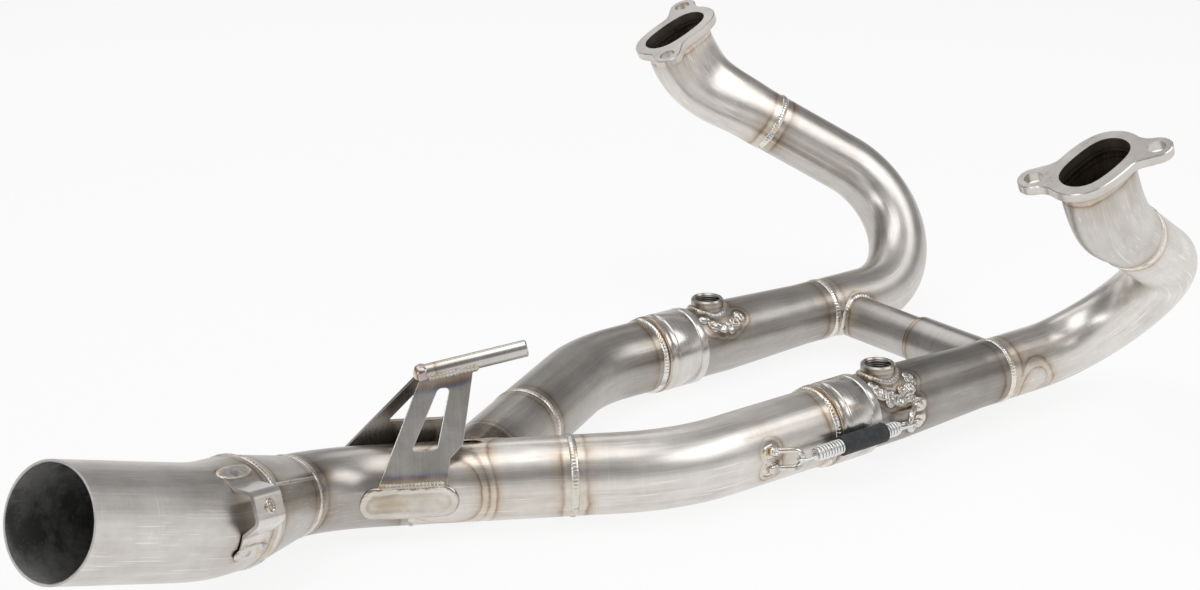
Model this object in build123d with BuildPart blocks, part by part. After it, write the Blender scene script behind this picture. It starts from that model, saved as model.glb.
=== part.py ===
from build123d import *
from math import asin, cos, pi, radians, sin, tan, tanh
import os

# Exhaust header of a flat-twin motorcycle: two primary pipes come down from the ports, turn back
# at the front, run rearwards side by side and join in one larger outlet.
# +X is forward, +Y is to the rider's left, +Z is up. The origin is the centre of the outlet's mouth.
# All sizes are in millimetres and all angles in degrees.

# Tube sizes
outlet_d = 63.5
outlet_wall = 1.5
leg_d = 48.0
leg_wall = 1.2
primary_d = 42.0
primary_wall = 1.2
crossover_d = 30.0
crossover_wall = 1.5

# Rear route, from the outlet's mouth to the two side-by-side runs
outlet_bend = Vector(95.5, 31, -36.5)
outlet_bend_radius = 147.0
merge_bend = Vector(208, 91, -66.5)
merge_bend_radius = 62.0
bend_lead = 1.0
cone_length = 57.5
right_run_y = -14.5
run_spacing = 166.0
right_leg_bend_x = 392.5
right_leg_bend_radius = 132.0
left_leg_bend_x = 450.0
left_leg_bend_radius = 95.0
merge_x = 281.0

# Seams of the legs, measured along each leg from the point where the two axes cross
collector_seam = 31.0
right_leg_seam = 64.0
left_leg_seam = 93.0

# Front route, from the slip joints to the ports
slip_x = 505.5
slip_end_gap = 0.8
taper_start_x = 565.0
taper_end_x = 637.0
front_seam_x = 655.5
right_front_bend_x = 887.5
right_run_rise = 5.0
left_front_bend_x = 851.5
front_bend_radius = 60.0
right_port = Vector(593.5, -144, 116.5)
left_port = Vector(628.5, 281, 114.5)
port_tilt = 23.5
port_splay = 2.5
port_drop = 41.0
port_bend_radius = 68.0
port_sections = 6
right_stub_seam = 59.0
left_stub_seam = 66.0

# Port flanges
port_half_length = 25.0
port_half_width = 14.2
flange_rim = 7.6
flange_thickness = 6.0
collar_height = 3.0
collar_rim = 3.2
ear_spacing = 71.7
ear_angle = 40.0
ear_radius = 9.6
ear_hole_d = 11.0
ear_fillet = 12.0
flange_chamfer = 0.5

# Slip joint sockets
socket_length = 33.0
socket_wall = 2.0
socket_shoulder = 4.0
socket_groove = 0.5
socket_groove_inset = 5.0
socket_chamfer = 0.6

# Crossover: a stub on each run and a sleeve over both
crossover_x = 676.0
crossover_drop = 5.0
sleeve_wall = 1.7
sleeve_start = 27.0
sleeve_end = 86.0
stub_gap = 14.0

# Sensor bosses
boss_x = 553.0
boss_d = 22.0
boss_height = 30.0
boss_bore_d = 16.4
boss_chamfer = 1.0

# Hanger on the collector: two sheet legs with feet, and a pin across their tops
hanger_back = 39.5
hanger_lean = 18.7
hanger_foot_across = 21.0
hanger_foot_height = 9.5
hanger_skirt = 3.0
hanger_sheet = 2.5
hanger_foot_start = -9.0
hanger_foot_end = 29.0
hanger_top_start = 18.0
hanger_top_end = 47.0
hanger_top_height = 70.0
hanger_jog_height = 29.0
hanger_jog = 6.5
window_foot_start = 11.5
window_foot_end = 24.5
window_foot_height = 29.0
window_top_start = 29.0
window_top_end = 33.0
window_top_height = 58.0
window_fillet = 1.6
pad_centre = 7.0
pad_length = 58.0
pad_height = 24.0
pad_thickness = 2.4
pad_lean = -8.0
pin_d = 10.0
pin_start = 14.0
pin_length = 66.0
pin_height = 67.5
pin_slope = 11.8
pin_chamfer = 0.8

# Strap bracket on the right-hand side of the outlet
strap_back = 25.5
strap_width = 27.0
strap_sheet = 2.0
strap_angle = 19.5
strap_lift = 7.5
strap_half_bridge = 7.5
strap_foot_from = 24.0
strap_foot_to = 41.0
strap_fillet = 3.0
rivet_head_d = 8.5
rivet_head_height = 1.8

# Springs across the slip joints, with their anchors on the tubes
spring_rear_x = 469.5
spring_length = 72.0
spring_d = 9.5
spring_wire = 1.8
spring_neck_d = 6.0
spring_taper = 4.0
spring_open_turns = 6
spring_gap = 1.2
spring_sleeve_wall = 1.4
spring_sleeve_start = 22.0
spring_sleeve_length = 36.0
hook_reach = 8.5
hook_tail = 4.0
anchor_wire = 3.0
anchor_span = 5.6
anchor_reach = 16.0

# Weld beads
bead_width = 5.0
bead_height = 0.9
saddle_width = 2.6
saddle_height = 1.6
blob_radius = 7.0
blob_sink = 4.4
boss_blobs = ((-11.5, 50), (-4, 56), (3.5, 55), (10, 47))
socket_weld_height = 1.7

forward = Vector(1, 0, 0)
up = Vector(0, 0, 1)
mouth = Vector(0, 0, 0)
os.makedirs("parts", exist_ok=True)


def save(piece, name):
    piece.part.label = name
    export_step(piece.part, f"parts/{name}.step")


def drop_scraps(piece):
    for scrap in piece.solids().sort_by(SortBy.VOLUME)[:-1]:
        add(scrap, mode=Mode.SUBTRACT)


def along(start, end, distance):
    return start + (end - start).normalized() * distance


def at_x(start, end, x):
    return start + (end - start) * ((x - start.X) / (end.X - start.X))


def bend_reach(before, corner, after, radius):
    turn = radians((corner - before).get_angle(after - corner))
    return radius * tan(turn / 2)


def section(origin, direction):
    return Plane(origin=origin, z_dir=direction)


def lengthwise(origin, direction):
    return Plane(origin=origin, x_dir=direction, z_dir=direction.cross(up))


def bent_tube(points, radii, outer_d, wall):
    with BuildLine() as route:
        FilletPolyline(*points, radius=radii)
    with BuildSketch(section(route.line @ 0, route.line % 0)) as ring:
        Circle(outer_d / 2)
        Circle(outer_d / 2 - wall, mode=Mode.SUBTRACT)
    sweep(ring.sketch, path=route.line)


def bent_rod(points, radii, diameter, mode=Mode.ADD):
    with BuildLine() as route:
        FilletPolyline(*points, radius=radii)
    with BuildSketch(section(route.line @ 0, route.line % 0)) as disc:
        Circle(diameter / 2)
    sweep(disc.sketch, path=route.line, mode=mode)


def straight_tube(start, end, outer_d, wall):
    with BuildSketch(section(start, end - start)) as ring:
        Circle(outer_d / 2)
        Circle(outer_d / 2 - wall, mode=Mode.SUBTRACT)
    extrude(ring.sketch, amount=(end - start).length)


def rod(start, end, diameter, mode=Mode.ADD):
    with BuildSketch(section(start, end - start)) as disc:
        Circle(diameter / 2)
    extrude(disc.sketch, amount=(end - start).length, mode=mode)


def turned(origin, direction, points, mode=Mode.ADD):
    with BuildSketch(lengthwise(origin, direction)) as profile:
        with BuildLine():
            Polyline(*points, close=True)
        make_face()
    revolve(profile.sketch, axis=Axis(origin, direction), mode=mode)


def bead(origin, direction, radius, height=bead_height, rise_before=0.0, rise_after=0.0):
    half = bead_width / 2
    back = (-half, radius + rise_before * half)
    front = (half, radius + rise_after * half)
    with BuildSketch(lengthwise(origin, direction)) as profile:
        with BuildLine():
            ThreePointArc(back, (0, radius + height), front)
            Polyline(front, (0, radius), back)
        make_face()
    revolve(profile.sketch, axis=Axis(origin, direction))


def saddle_weld(start, end, branch_d, run_start, run_end, run_d):
    straight_tube(start, end, branch_d + 2 * saddle_width, saddle_width)
    back = along(run_start, run_end, -run_d)
    front = along(run_end, run_start, -run_d)
    rod(back, front, run_d, mode=Mode.SUBTRACT)
    with BuildSketch(section(back, front - back)) as outside:
        Circle((end - start).length + branch_d)
        Circle(run_d / 2 + saddle_height, mode=Mode.SUBTRACT)
    extrude(outside.sketch, amount=(front - back).length, mode=Mode.SUBTRACT)


def dome(axis_point, outward, tube_d):
    with Locations(axis_point + outward * (tube_d / 2 - blob_sink)):
        Sphere(blob_radius)


def oval(half_length, half_width, mode=Mode.ADD):
    straight = half_length - half_width
    points = []
    for step in range(24):
        angle = 2 * pi * step / 24
        flat = tanh(2.2 * cos(angle)) / tanh(2.2)
        points.append((straight * flat + half_width * cos(angle), half_width * sin(angle)))
    with BuildLine() as outline:
        Spline(*points, periodic=True)
    make_face(outline.edges(), mode=mode)


# Corners and axes of the two runs
right_leg_corner = Vector(right_leg_bend_x, right_run_y, merge_bend.Z)
left_leg_corner = Vector(left_leg_bend_x, right_run_y + run_spacing, merge_bend.Z)
right_front_corner = Vector(right_front_bend_x, right_run_y, merge_bend.Z + right_run_rise)
left_front_corner = Vector(left_front_bend_x, right_run_y + run_spacing, merge_bend.Z)
merge_point = at_x(right_leg_corner, merge_bend, merge_x)
merge_reach = bend_reach(right_leg_corner, merge_bend, outlet_bend, merge_bend_radius)
cone_front = along(merge_bend, outlet_bend, merge_reach + bend_lead)
cone_rear = along(cone_front, outlet_bend, cone_length)
rearward = (outlet_bend - merge_bend).normalized()
leg_axis = (right_leg_corner - merge_bend).normalized()
collector_start = merge_point - leg_axis * collector_seam
right_leg_end = merge_point + leg_axis * right_leg_seam
left_leg_end = along(merge_point, left_leg_corner, left_leg_seam)
left_leg_axis = (left_leg_corner - merge_point).normalized()
cone_slope = (outlet_d - leg_d) / 2 / cone_length

# Outlet, cone and collector
with BuildPart() as outlet_pipe:
    bent_tube([cone_rear, outlet_bend, mouth], [outlet_bend_radius], outlet_d, outlet_wall)
save(outlet_pipe, "outlet_pipe")

with BuildPart() as outlet_cone:
    turned(cone_front, rearward, [
        (0, leg_d / 2), (cone_length, outlet_d / 2),
        (cone_length, outlet_d / 2 - outlet_wall), (0, leg_d / 2 - leg_wall)])
save(outlet_cone, "outlet_cone")

with BuildPart() as collector_bend:
    bent_tube([collector_start, merge_bend, cone_front], [merge_bend_radius], leg_d, leg_wall)
save(collector_bend, "collector_bend")

with BuildPart() as merge_tube:
    straight_tube(collector_start, right_leg_end, leg_d, leg_wall)
    rod(merge_point, left_leg_end, leg_d - 2 * leg_wall, mode=Mode.SUBTRACT)
save(merge_tube, "merge_tube")

with BuildPart() as merge_branch:
    straight_tube(merge_point, left_leg_end, leg_d, leg_wall)
    rod(along(collector_start, merge_point, -leg_d), along(right_leg_end, merge_point, -leg_d),
        leg_d, mode=Mode.SUBTRACT)
save(merge_branch, "merge_branch")

with BuildPart() as collector_welds:
    bead(cone_rear, rearward, outlet_d / 2, rise_before=-cone_slope)
    bead(cone_front, rearward, leg_d / 2, rise_after=cone_slope)
    bead(collector_start, leg_axis, leg_d / 2)
    bead(right_leg_end, leg_axis, leg_d / 2)
    bead(left_leg_end, left_leg_axis, leg_d / 2)
save(collector_welds, "collector_welds")

with BuildPart() as merge_weld:
    saddle_weld(merge_point, left_leg_end, leg_d, collector_start, right_leg_end, leg_d)
save(merge_weld, "merge_weld")

# Hanger: the legs lean in from the collector's sides and carry the pin on their tops
hanger_seat = merge_point - leg_axis * hanger_back
pin_slant = leg_axis * cos(radians(pin_slope)) + up * sin(radians(pin_slope))
pin_back = hanger_seat + leg_axis * pin_start + up * pin_height
pin_front = pin_back + pin_slant * pin_length

with BuildPart() as hanger_pin:
    rod(pin_back, pin_front, pin_d)
    chamfer(hanger_pin.edges().filter_by(GeomType.CIRCLE), length=pin_chamfer)
save(hanger_pin, "hanger_pin")

for side, hand in (("right", -1), ("left", 1)):
    outward = up.cross(leg_axis) * hand
    lean_up = up * cos(radians(hanger_lean)) - outward * sin(radians(hanger_lean))
    foot_line = hanger_seat + outward * hanger_foot_across + up * hanger_foot_height
    sheet = Plane(origin=foot_line, x_dir=leg_axis, z_dir=leg_axis.cross(lean_up))
    rise = [(height - hanger_foot_height) / cos(radians(hanger_lean)) for height in (
        hanger_foot_height, hanger_jog_height, hanger_top_height, window_foot_height,
        window_top_height)]
    front_slope = (hanger_top_end - hanger_foot_end - hanger_jog) / (rise[2] - rise[0])
    jog_s = hanger_foot_end + front_slope * rise[1]
    pad_out = outward * cos(radians(pad_lean)) + up * sin(radians(pad_lean))
    pad_plane = Plane(origin=hanger_seat + leg_axis * pad_centre, x_dir=leg_axis, z_dir=pad_out)
    with BuildPart() as hanger_foot:
        with BuildSketch(pad_plane):
            SlotOverall(pad_length, pad_height)
        extrude(amount=leg_d)
        bent_rod([right_leg_end, merge_bend, cone_front], [merge_bend_radius],
                 leg_d + 2 * pad_thickness, mode=Mode.INTERSECT)
        bent_rod([right_leg_end, merge_bend, cone_front], [merge_bend_radius], leg_d,
                 mode=Mode.SUBTRACT)
        for neighbour in (merge_branch, merge_weld, collector_welds):
            add(neighbour.part, mode=Mode.SUBTRACT)
        drop_scraps(hanger_foot)
    save(hanger_foot, f"{side}_hanger_foot")

    with BuildPart() as hanger_leg:
        with BuildSketch(sheet) as leg_outline:
            with BuildLine():
                Polyline((hanger_foot_start, -hanger_skirt), (hanger_foot_end, -hanger_skirt),
                         (jog_s, rise[1] - hanger_jog * 1.2), (jog_s + hanger_jog, rise[1]),
                         (hanger_top_end, rise[2]), (hanger_top_start, rise[2]), close=True)
            make_face()
            with BuildLine():
                Polyline((window_foot_start, rise[3]), (window_foot_end, rise[3]),
                         (window_top_end, rise[4]), (window_top_start, rise[4]), close=True)
            make_face(mode=Mode.SUBTRACT)
            fillet(leg_outline.face().inner_wires()[0].vertices(), radius=window_fillet)
        extrude(amount=-hanger_sheet * hand)
        rod(along(pin_back, pin_front, -pin_d), along(pin_front, pin_back, -pin_d), pin_d,
            mode=Mode.SUBTRACT)
        rod(collector_start - leg_axis * leg_d * 2, right_leg_end, leg_d, mode=Mode.SUBTRACT)
        for neighbour in (hanger_foot, merge_branch, merge_weld, collector_welds):
            add(neighbour.part, mode=Mode.SUBTRACT)
        drop_scraps(hanger_leg)
    save(hanger_leg, f"{side}_hanger_leg")

# Strap bracket: a folded strip with both feet on the outlet, and a rivet in its bridge
strap_side = up.cross(rearward).normalized()
strap_up = rearward.cross(strap_side)
strap_out = (strap_side * cos(radians(strap_angle)) + strap_up * sin(radians(strap_angle)))
strap_start = cone_rear + rearward * (strap_back - strap_width / 2)
strap_plane = Plane(origin=strap_start, x_dir=strap_out.cross(rearward), z_dir=rearward)
outlet_r = outlet_d / 2
with BuildPart() as strap_bracket:
    with BuildSketch(strap_plane):
        with BuildLine():
            foot_r = outlet_r - strap_sheet / 2
            corners = [(foot_r * sin(radians(turn)), foot_r * cos(radians(turn)))
                       for turn in (strap_foot_to, strap_foot_from)]
            corners.append((strap_half_bridge, outlet_r + strap_lift))
            corners += [(-across, height) for across, height in reversed(corners)]
            FilletPolyline(*corners, radius=strap_fillet)
            offset(amount=strap_sheet, side=Side.RIGHT)
        make_face()
    extrude(amount=strap_width)
    rod(cone_rear, cone_rear + rearward * (strap_back + strap_width), outlet_d,
        mode=Mode.SUBTRACT)
save(strap_bracket, "strap_bracket")

rivet_seat = cone_rear + rearward * strap_back + strap_out * (outlet_r + strap_lift + strap_sheet)
with BuildPart() as strap_rivet:
    with BuildSketch(Plane(origin=rivet_seat, z_dir=strap_out)):
        Circle(rivet_head_d / 2)
    extrude(amount=rivet_head_height)
    fillet(strap_rivet.faces().sort_by(Axis(rivet_seat, strap_out))[-1].edges(),
           radius=rivet_head_height * 0.8)
save(strap_rivet, "strap_rivet")

# The two pipes, from the merge to the ports
sides = (
    ("right", -1, right_leg_end, right_leg_corner, right_front_corner, right_leg_bend_radius,
     right_port, right_stub_seam),
    ("left", 1, left_leg_end, left_leg_corner, left_front_corner, left_leg_bend_radius,
     left_port, left_stub_seam),
)
crossover_z = merge_bend.Z - crossover_drop
sleeve_from = right_run_y + sleeve_start
sleeve_to = right_run_y + sleeve_end
sleeve_middle = (sleeve_from + sleeve_to) / 2
spring_out = leg_d / 2 + socket_wall + spring_gap + spring_sleeve_wall + spring_d / 2

with BuildPart() as crossover_sleeve:
    straight_tube(Vector(crossover_x, sleeve_from, crossover_z),
                  Vector(crossover_x, sleeve_to, crossover_z),
                  crossover_d + 2 * sleeve_wall, sleeve_wall)
save(crossover_sleeve, "crossover_sleeve")

for side, hand, leg_end, leg_corner, front_corner, leg_radius, port, stub_seam in sides:
    outward = Vector(0, hand, 0)
    run = (front_corner - leg_corner).normalized()
    slip = at_x(leg_corner, front_corner, slip_x)
    taper_start = at_x(leg_corner, front_corner, taper_start_x)
    taper_end = at_x(leg_corner, front_corner, taper_end_x)
    front_seam = at_x(leg_corner, front_corner, front_seam_x)
    normal = Vector(-sin(radians(port_tilt)), hand * sin(radians(port_splay)),
                    cos(radians(port_tilt))).normalized()
    slot_axis = Vector(cos(radians(port_tilt)), 0, sin(radians(port_tilt)))
    port_corner = port - normal * port_drop
    stub_start = along(port_corner, front_corner, stub_seam)
    downpipe = (port_corner - front_corner).normalized()

    with BuildPart() as leg_bend:
        bent_tube([leg_end, leg_corner, slip], [leg_radius], leg_d, leg_wall)
    save(leg_bend, f"{side}_leg_bend")

    with BuildPart() as slip_socket:
        groove = socket_length - socket_shoulder - socket_groove_inset
        edge = socket_length - socket_shoulder
        inner = leg_d / 2
        outer = leg_d / 2 + socket_wall
        turned(slip, run, [
            (-socket_shoulder, inner), (-socket_shoulder, outer - socket_chamfer),
            (-socket_shoulder + socket_chamfer, outer), (groove - 2 * socket_groove, outer),
            (groove - socket_groove, outer - socket_groove), (groove, outer),
            (edge - socket_chamfer, outer), (edge, outer - socket_chamfer), (edge, inner)])
    save(slip_socket, f"{side}_slip_socket")

    with BuildPart() as taper_pipe:
        first = slip_end_gap
        second = (taper_start - slip).length
        third = (taper_end - slip).length
        last = (front_seam - slip).length
        turned(slip, run, [
            (first, leg_d / 2), (second, leg_d / 2), (third, primary_d / 2), (last, primary_d / 2),
            (last, primary_d / 2 - primary_wall), (third, primary_d / 2 - primary_wall),
            (second, leg_d / 2 - primary_wall), (first, leg_d / 2 - primary_wall)])
        boss_foot = at_x(leg_corner, front_corner, boss_x)
        boss_top = boss_foot + up * boss_height
        rod(boss_foot, boss_top, boss_bore_d, mode=Mode.SUBTRACT)
    save(taper_pipe, f"{side}_taper_pipe")

    with BuildPart() as sensor_boss:
        rod(boss_foot, boss_top, boss_d)
        rod(slip, front_seam, leg_d, mode=Mode.SUBTRACT)
        rod(boss_foot, boss_top, boss_bore_d, mode=Mode.SUBTRACT)
        rim = sensor_boss.faces().sort_by(Axis.Z)[-1]
        chamfer(rim.edges(), length=boss_chamfer)
    save(sensor_boss, f"{side}_sensor_boss")

    with BuildPart() as boss_weld:
        saddle_weld(boss_foot, boss_top, boss_d, slip, front_seam, leg_d)
    save(boss_weld, f"{side}_boss_weld")

    with BuildPart() as boss_beads:
        for reach, turn in boss_blobs:
            out = up * cos(radians(turn)) - Vector(0, 1, 0) * sin(radians(turn))
            dome(boss_foot + run * reach, out, leg_d)
        rod(slip, front_seam, leg_d, mode=Mode.SUBTRACT)
    save(boss_beads, f"{side}_boss_beads")

    with BuildPart() as front_bend:
        bent_tube([front_seam, front_corner, stub_start], [front_bend_radius],
                  primary_d, primary_wall)
        crossing = Vector(crossover_x, front_seam.Y, crossover_z)
        rod(crossing, crossing - outward * primary_d, crossover_d - 2 * crossover_wall,
            mode=Mode.SUBTRACT)
    save(front_bend, f"{side}_front_bend")

    with BuildPart() as crossover_stub:
        stub_end = Vector(crossover_x, sleeve_middle + hand * stub_gap / 2, crossover_z)
        straight_tube(crossing, stub_end, crossover_d, crossover_wall)
        rod(front_seam, along(front_seam, front_corner, primary_d * 2), primary_d,
            mode=Mode.SUBTRACT)
    save(crossover_stub, f"{side}_crossover_stub")

    with BuildPart() as crossover_weld:
        saddle_weld(crossing, stub_end, crossover_d, front_seam,
                    along(front_seam, front_corner, primary_d), primary_d)
    save(crossover_weld, f"{side}_crossover_weld")

    with BuildPart() as pipe_welds:
        bead(slip - run * (socket_shoulder + bead_width / 2), run, leg_d / 2,
             height=socket_weld_height)
        bead(front_seam, run, primary_d / 2)
        bead(stub_start, downpipe, primary_d / 2)
    save(pipe_welds, f"{side}_pipe_welds")

    with BuildPart() as port_stub:
        with BuildLine() as port_route:
            FilletPolyline(stub_start, port_corner,
                           port - normal * (flange_thickness + collar_height),
                           radius=port_bend_radius)
        for wall, mode in ((0, Mode.ADD), (primary_wall, Mode.SUBTRACT)):
            stations = []
            for step in range(port_sections + 1):
                share = step / port_sections
                blend = share * share * (3 - 2 * share)
                point = port_route.line @ share
                tangent = port_route.line % share
                half_length = primary_d / 2 + blend * (port_half_length + primary_wall
                                                       - primary_d / 2) - wall
                half_width = primary_d / 2 + blend * (port_half_width + primary_wall
                                                      - primary_d / 2) - wall
                level = slot_axis - tangent * slot_axis.dot(tangent)
                with BuildSketch(Plane(origin=point, x_dir=level, z_dir=tangent)) as station:
                    oval(half_length, half_width)
                stations.append(station.sketch)
            loft(stations, mode=mode)
    save(port_stub, f"{side}_port_stub")

    with BuildPart() as port_flange:
        with BuildSketch(Plane(origin=port, x_dir=slot_axis, z_dir=normal)):
            oval(port_half_length + flange_rim, port_half_width + flange_rim)
            with Locations(Rotation(0, 0, hand * ear_angle)):
                Rectangle(ear_spacing, 2 * ear_radius)
            ears = [Vector(offset, 0).rotate(Axis.Z, hand * ear_angle)
                    for offset in (-ear_spacing / 2, ear_spacing / 2)]
            with Locations(*ears):
                Circle(ear_radius)
        extrude(amount=-flange_thickness)
        sharp = [edge for edge in port_flange.edges().filter_by(Axis(port, normal))
                 if (edge @ 0.5 - port).length < ear_spacing / 2 - 1
                 and abs((edge @ 0.5 - port).dot(normal.cross(slot_axis))) > 1]
        fillet(sharp, radius=ear_fillet)
        rims = port_flange.faces().filter_by(Axis(port, normal)).edges()
        chamfer(rims, length=flange_chamfer)
        with BuildSketch(Plane(origin=port - normal * flange_thickness, x_dir=slot_axis,
                               z_dir=normal)):
            oval(port_half_length + collar_rim, port_half_width + collar_rim)
        extrude(amount=-collar_height)
        with BuildSketch(Plane(origin=port, x_dir=slot_axis, z_dir=normal)):
            oval(port_half_length, port_half_width)
        extrude(amount=-flange_thickness - collar_height, mode=Mode.SUBTRACT)
        with Locations(Plane(origin=port, x_dir=slot_axis, z_dir=normal)):
            with Locations(*ears):
                Hole(radius=ear_hole_d / 2, depth=flange_thickness)
    save(port_flange, f"{side}_port_flange")

    spring_axis = outward * spring_out
    rear_end = at_x(leg_corner, front_corner, spring_rear_x) + spring_axis
    front_end = rear_end + run * spring_length
    bend_front = along(leg_corner, front_corner,
                       bend_reach(leg_end, leg_corner, front_corner, leg_radius))
    with BuildPart() as spring:
        pitch = spring_sleeve_start / spring_open_turns
        half = []
        for turn in range(spring_open_turns):
            root = pitch * turn
            grown = min(1, (root + pitch / 2) / spring_taper)
            crest = (spring_neck_d + (spring_d - spring_neck_d) * grown) / 2
            half += [(root, crest - spring_wire / 2), (root + pitch / 2, crest)]
        rear_half = [(0, 0)] + half + [(spring_sleeve_start, spring_d / 2)]
        turned(rear_end, run, rear_half + [(spring_length / 2, spring_d / 2),
                                           (spring_length / 2, 0)])
        turned(front_end, -run, rear_half + [(spring_length / 2, spring_d / 2),
                                             (spring_length / 2, 0)])
        hook_r = (anchor_wire + spring_wire) / 2
        for end, away in ((rear_end, -run), (front_end, run)):
            crest = end + away * hook_reach
            with BuildLine() as hook:
                Line(end - away * 2 + outward * hook_r, crest + outward * hook_r)
                ThreePointArc(crest + outward * hook_r, crest + away * hook_r,
                              crest - outward * hook_r)
                Line(crest - outward * hook_r, crest - outward * hook_r - away * hook_tail)
            with BuildSketch(Plane(origin=hook.line @ 0, z_dir=hook.line % 0)):
                Circle(spring_wire / 2)
            sweep(path=hook.line)
    save(spring, f"{side}_spring")

    with BuildPart() as spring_sleeve:
        straight_tube(rear_end + run * spring_sleeve_start,
                      rear_end + run * (spring_sleeve_start + spring_sleeve_length),
                      spring_d + 2 * spring_sleeve_wall, spring_sleeve_wall)
    save(spring_sleeve, f"{side}_spring_sleeve")

    for end_name, end, away in (("rear", rear_end, -run), ("front", front_end, run)):
        crest = end + away * hook_reach
        root = crest - spring_axis + away * anchor_reach
        past = max(0, (bend_front - root).dot(run))
        turn = asin(past / (leg_radius + leg_d / 2))
        radial = outward * cos(turn) - run * sin(turn)
        root += run * past + (radial - outward) * leg_radius
        foot = root + radial * (leg_d / 2 - anchor_wire)
        span = up * anchor_span
        with BuildPart() as anchor:
            with BuildLine() as loop:
                FilletPolyline(foot + span, crest + span, crest - span, foot - span,
                               radius=anchor_span * 0.98)
            with BuildSketch(Plane(origin=loop.line @ 0, z_dir=loop.line % 0)):
                Circle(anchor_wire / 2)
            sweep(path=loop.line)
            for sign in (-1, 1):
                dome(root, (radial * (leg_d / 2) + span * sign).normalized(), leg_d)
            bent_rod([leg_end, leg_corner, slip], [leg_radius], leg_d, mode=Mode.SUBTRACT)
            rod(slip, front_seam, leg_d, mode=Mode.SUBTRACT)
        save(anchor, f"{side}_{end_name}_anchor")
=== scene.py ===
from math import asin, atan2, cos, pi, radians, sin, sqrt, tan
from types import SimpleNamespace

import bmesh
import bpy
from bpy.props import FloatProperty, FloatVectorProperty, PointerProperty
from mathutils import Matrix, Vector, noise


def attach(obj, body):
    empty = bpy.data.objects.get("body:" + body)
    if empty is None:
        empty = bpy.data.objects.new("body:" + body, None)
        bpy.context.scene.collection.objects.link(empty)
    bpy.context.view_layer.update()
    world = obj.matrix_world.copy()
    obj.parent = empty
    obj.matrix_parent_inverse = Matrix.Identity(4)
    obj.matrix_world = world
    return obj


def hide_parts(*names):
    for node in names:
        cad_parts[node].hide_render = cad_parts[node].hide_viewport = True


bl_info = {
    "name": "Flat-twin exhaust header",
    "version": (1, 0, 0),
    "blender": (4, 5, 0),
    "location": "View3D > Sidebar > Header",
    "description": "Welds, springs, threads and steel finishes on the header's CAD frame",
    "category": "Object",
}

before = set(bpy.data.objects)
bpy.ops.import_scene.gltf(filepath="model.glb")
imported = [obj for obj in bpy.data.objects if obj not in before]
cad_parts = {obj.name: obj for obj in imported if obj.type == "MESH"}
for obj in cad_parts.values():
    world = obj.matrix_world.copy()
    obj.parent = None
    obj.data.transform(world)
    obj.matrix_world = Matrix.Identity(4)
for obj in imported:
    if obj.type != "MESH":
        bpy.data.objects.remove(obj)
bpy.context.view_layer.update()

MM = 0.001
UP = Vector((0, 0, 1))


def mm(x, y, z):
    return Vector((x, y, z)) * MM


# Tubes, as the CAD source has them
OUTLET_R = 31.75 * MM
OUTLET_WALL = 1.5 * MM
LEG_R = 24 * MM
PRIMARY_R = 21 * MM
CROSSOVER_R = 15 * MM
MOUTH = Vector((0, 0, 0))
OUTLET_BEND = mm(95.5, 31, -36.5)
OUTLET_BEND_RADIUS = 147 * MM
MERGE_BEND = mm(208, 91, -66.5)
MERGE_BEND_RADIUS = 62 * MM
BEND_LEAD = 1 * MM
CONE_LENGTH = 57.5 * MM
RIGHT_RUN_Y = -14.5 * MM
RUN_SPACING = 166 * MM
MERGE_X = 281 * MM
COLLECTOR_SEAM = 31 * MM
RIGHT_LEG_SEAM = 64 * MM
LEFT_LEG_SEAM = 93 * MM
SLIP_X = 505.5 * MM
FRONT_SEAM_X = 655.5 * MM
FRONT_BEND_RADIUS = 60 * MM
PORT_TILT = radians(23.5)
PORT_SPLAY = radians(2.5)
PORT_DROP = 41 * MM
PORT_BEND_RADIUS = 68 * MM
FLANGE_DEPTH = 9 * MM
CROSSOVER_X = 676 * MM
CROSSOVER_Z = MERGE_BEND.z - 5 * MM
SLEEVE_FROM = RIGHT_RUN_Y + 27 * MM
SLEEVE_TO = RIGHT_RUN_Y + 86 * MM

# Sockets, bosses, springs and anchors
SOCKET_WALL = 2 * MM
SOCKET_SHOULDER = 4 * MM
BOSS_X = 553 * MM
BOSS_R = 11 * MM
BOSS_HEIGHT = 30 * MM
BOSS_BORE_R = 8.2 * MM
SPRING_REAR_X = 469.5 * MM
SPRING_LENGTH = 72 * MM
SPRING_R = 4.75 * MM
SPRING_NECK_R = 3 * MM
SPRING_TAPER = 5 * MM
SPRING_OUT = 33.35 * MM
SLEEVE_START = 22 * MM
SLEEVE_LENGTH = 36 * MM
HOOK_REACH = 8.5 * MM
HOOK_TAIL = 4 * MM
ANCHOR_WIRE_R = 1.5 * MM
LOOP_WIRE_R = 1.9 * MM
ANCHOR_SPAN = 5.6 * MM
ANCHOR_REACH = 16 * MM

# Hanger and strap bracket
HANGER_BACK = 39.5 * MM
PIN_R = 5 * MM
PIN_START = 14 * MM
PIN_HEIGHT = 67.5 * MM
PIN_SLOPE = radians(11.8)
PIN_LENGTH = 66 * MM
PIN_TOP = 70 * MM
HANGER_ACROSS = 21 * MM
HANGER_FOOT = 9.5 * MM
HANGER_LEAN = radians(18.7)
HANGER_SHEET = 2.5 * MM
PAD_CENTRE = 7 * MM
PAD_LEAN = radians(-4)
PAD_LENGTH = 58 * MM
PAD_WIDTH = 20.5 * MM
PAD_RISE = 2.4 * MM
PAD_DISH = 1.0 * MM
PAD_RIM = 3.2 * MM
PAD_SHOULDER = 1.6 * MM
STRAP_BACK = 25.5 * MM
STRAP_WIDTH = 27 * MM
STRAP_ANGLE = radians(19.5)
STRAP_FOOT_TO = radians(41)
STRAP_TOP = 9.5 * MM

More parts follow.
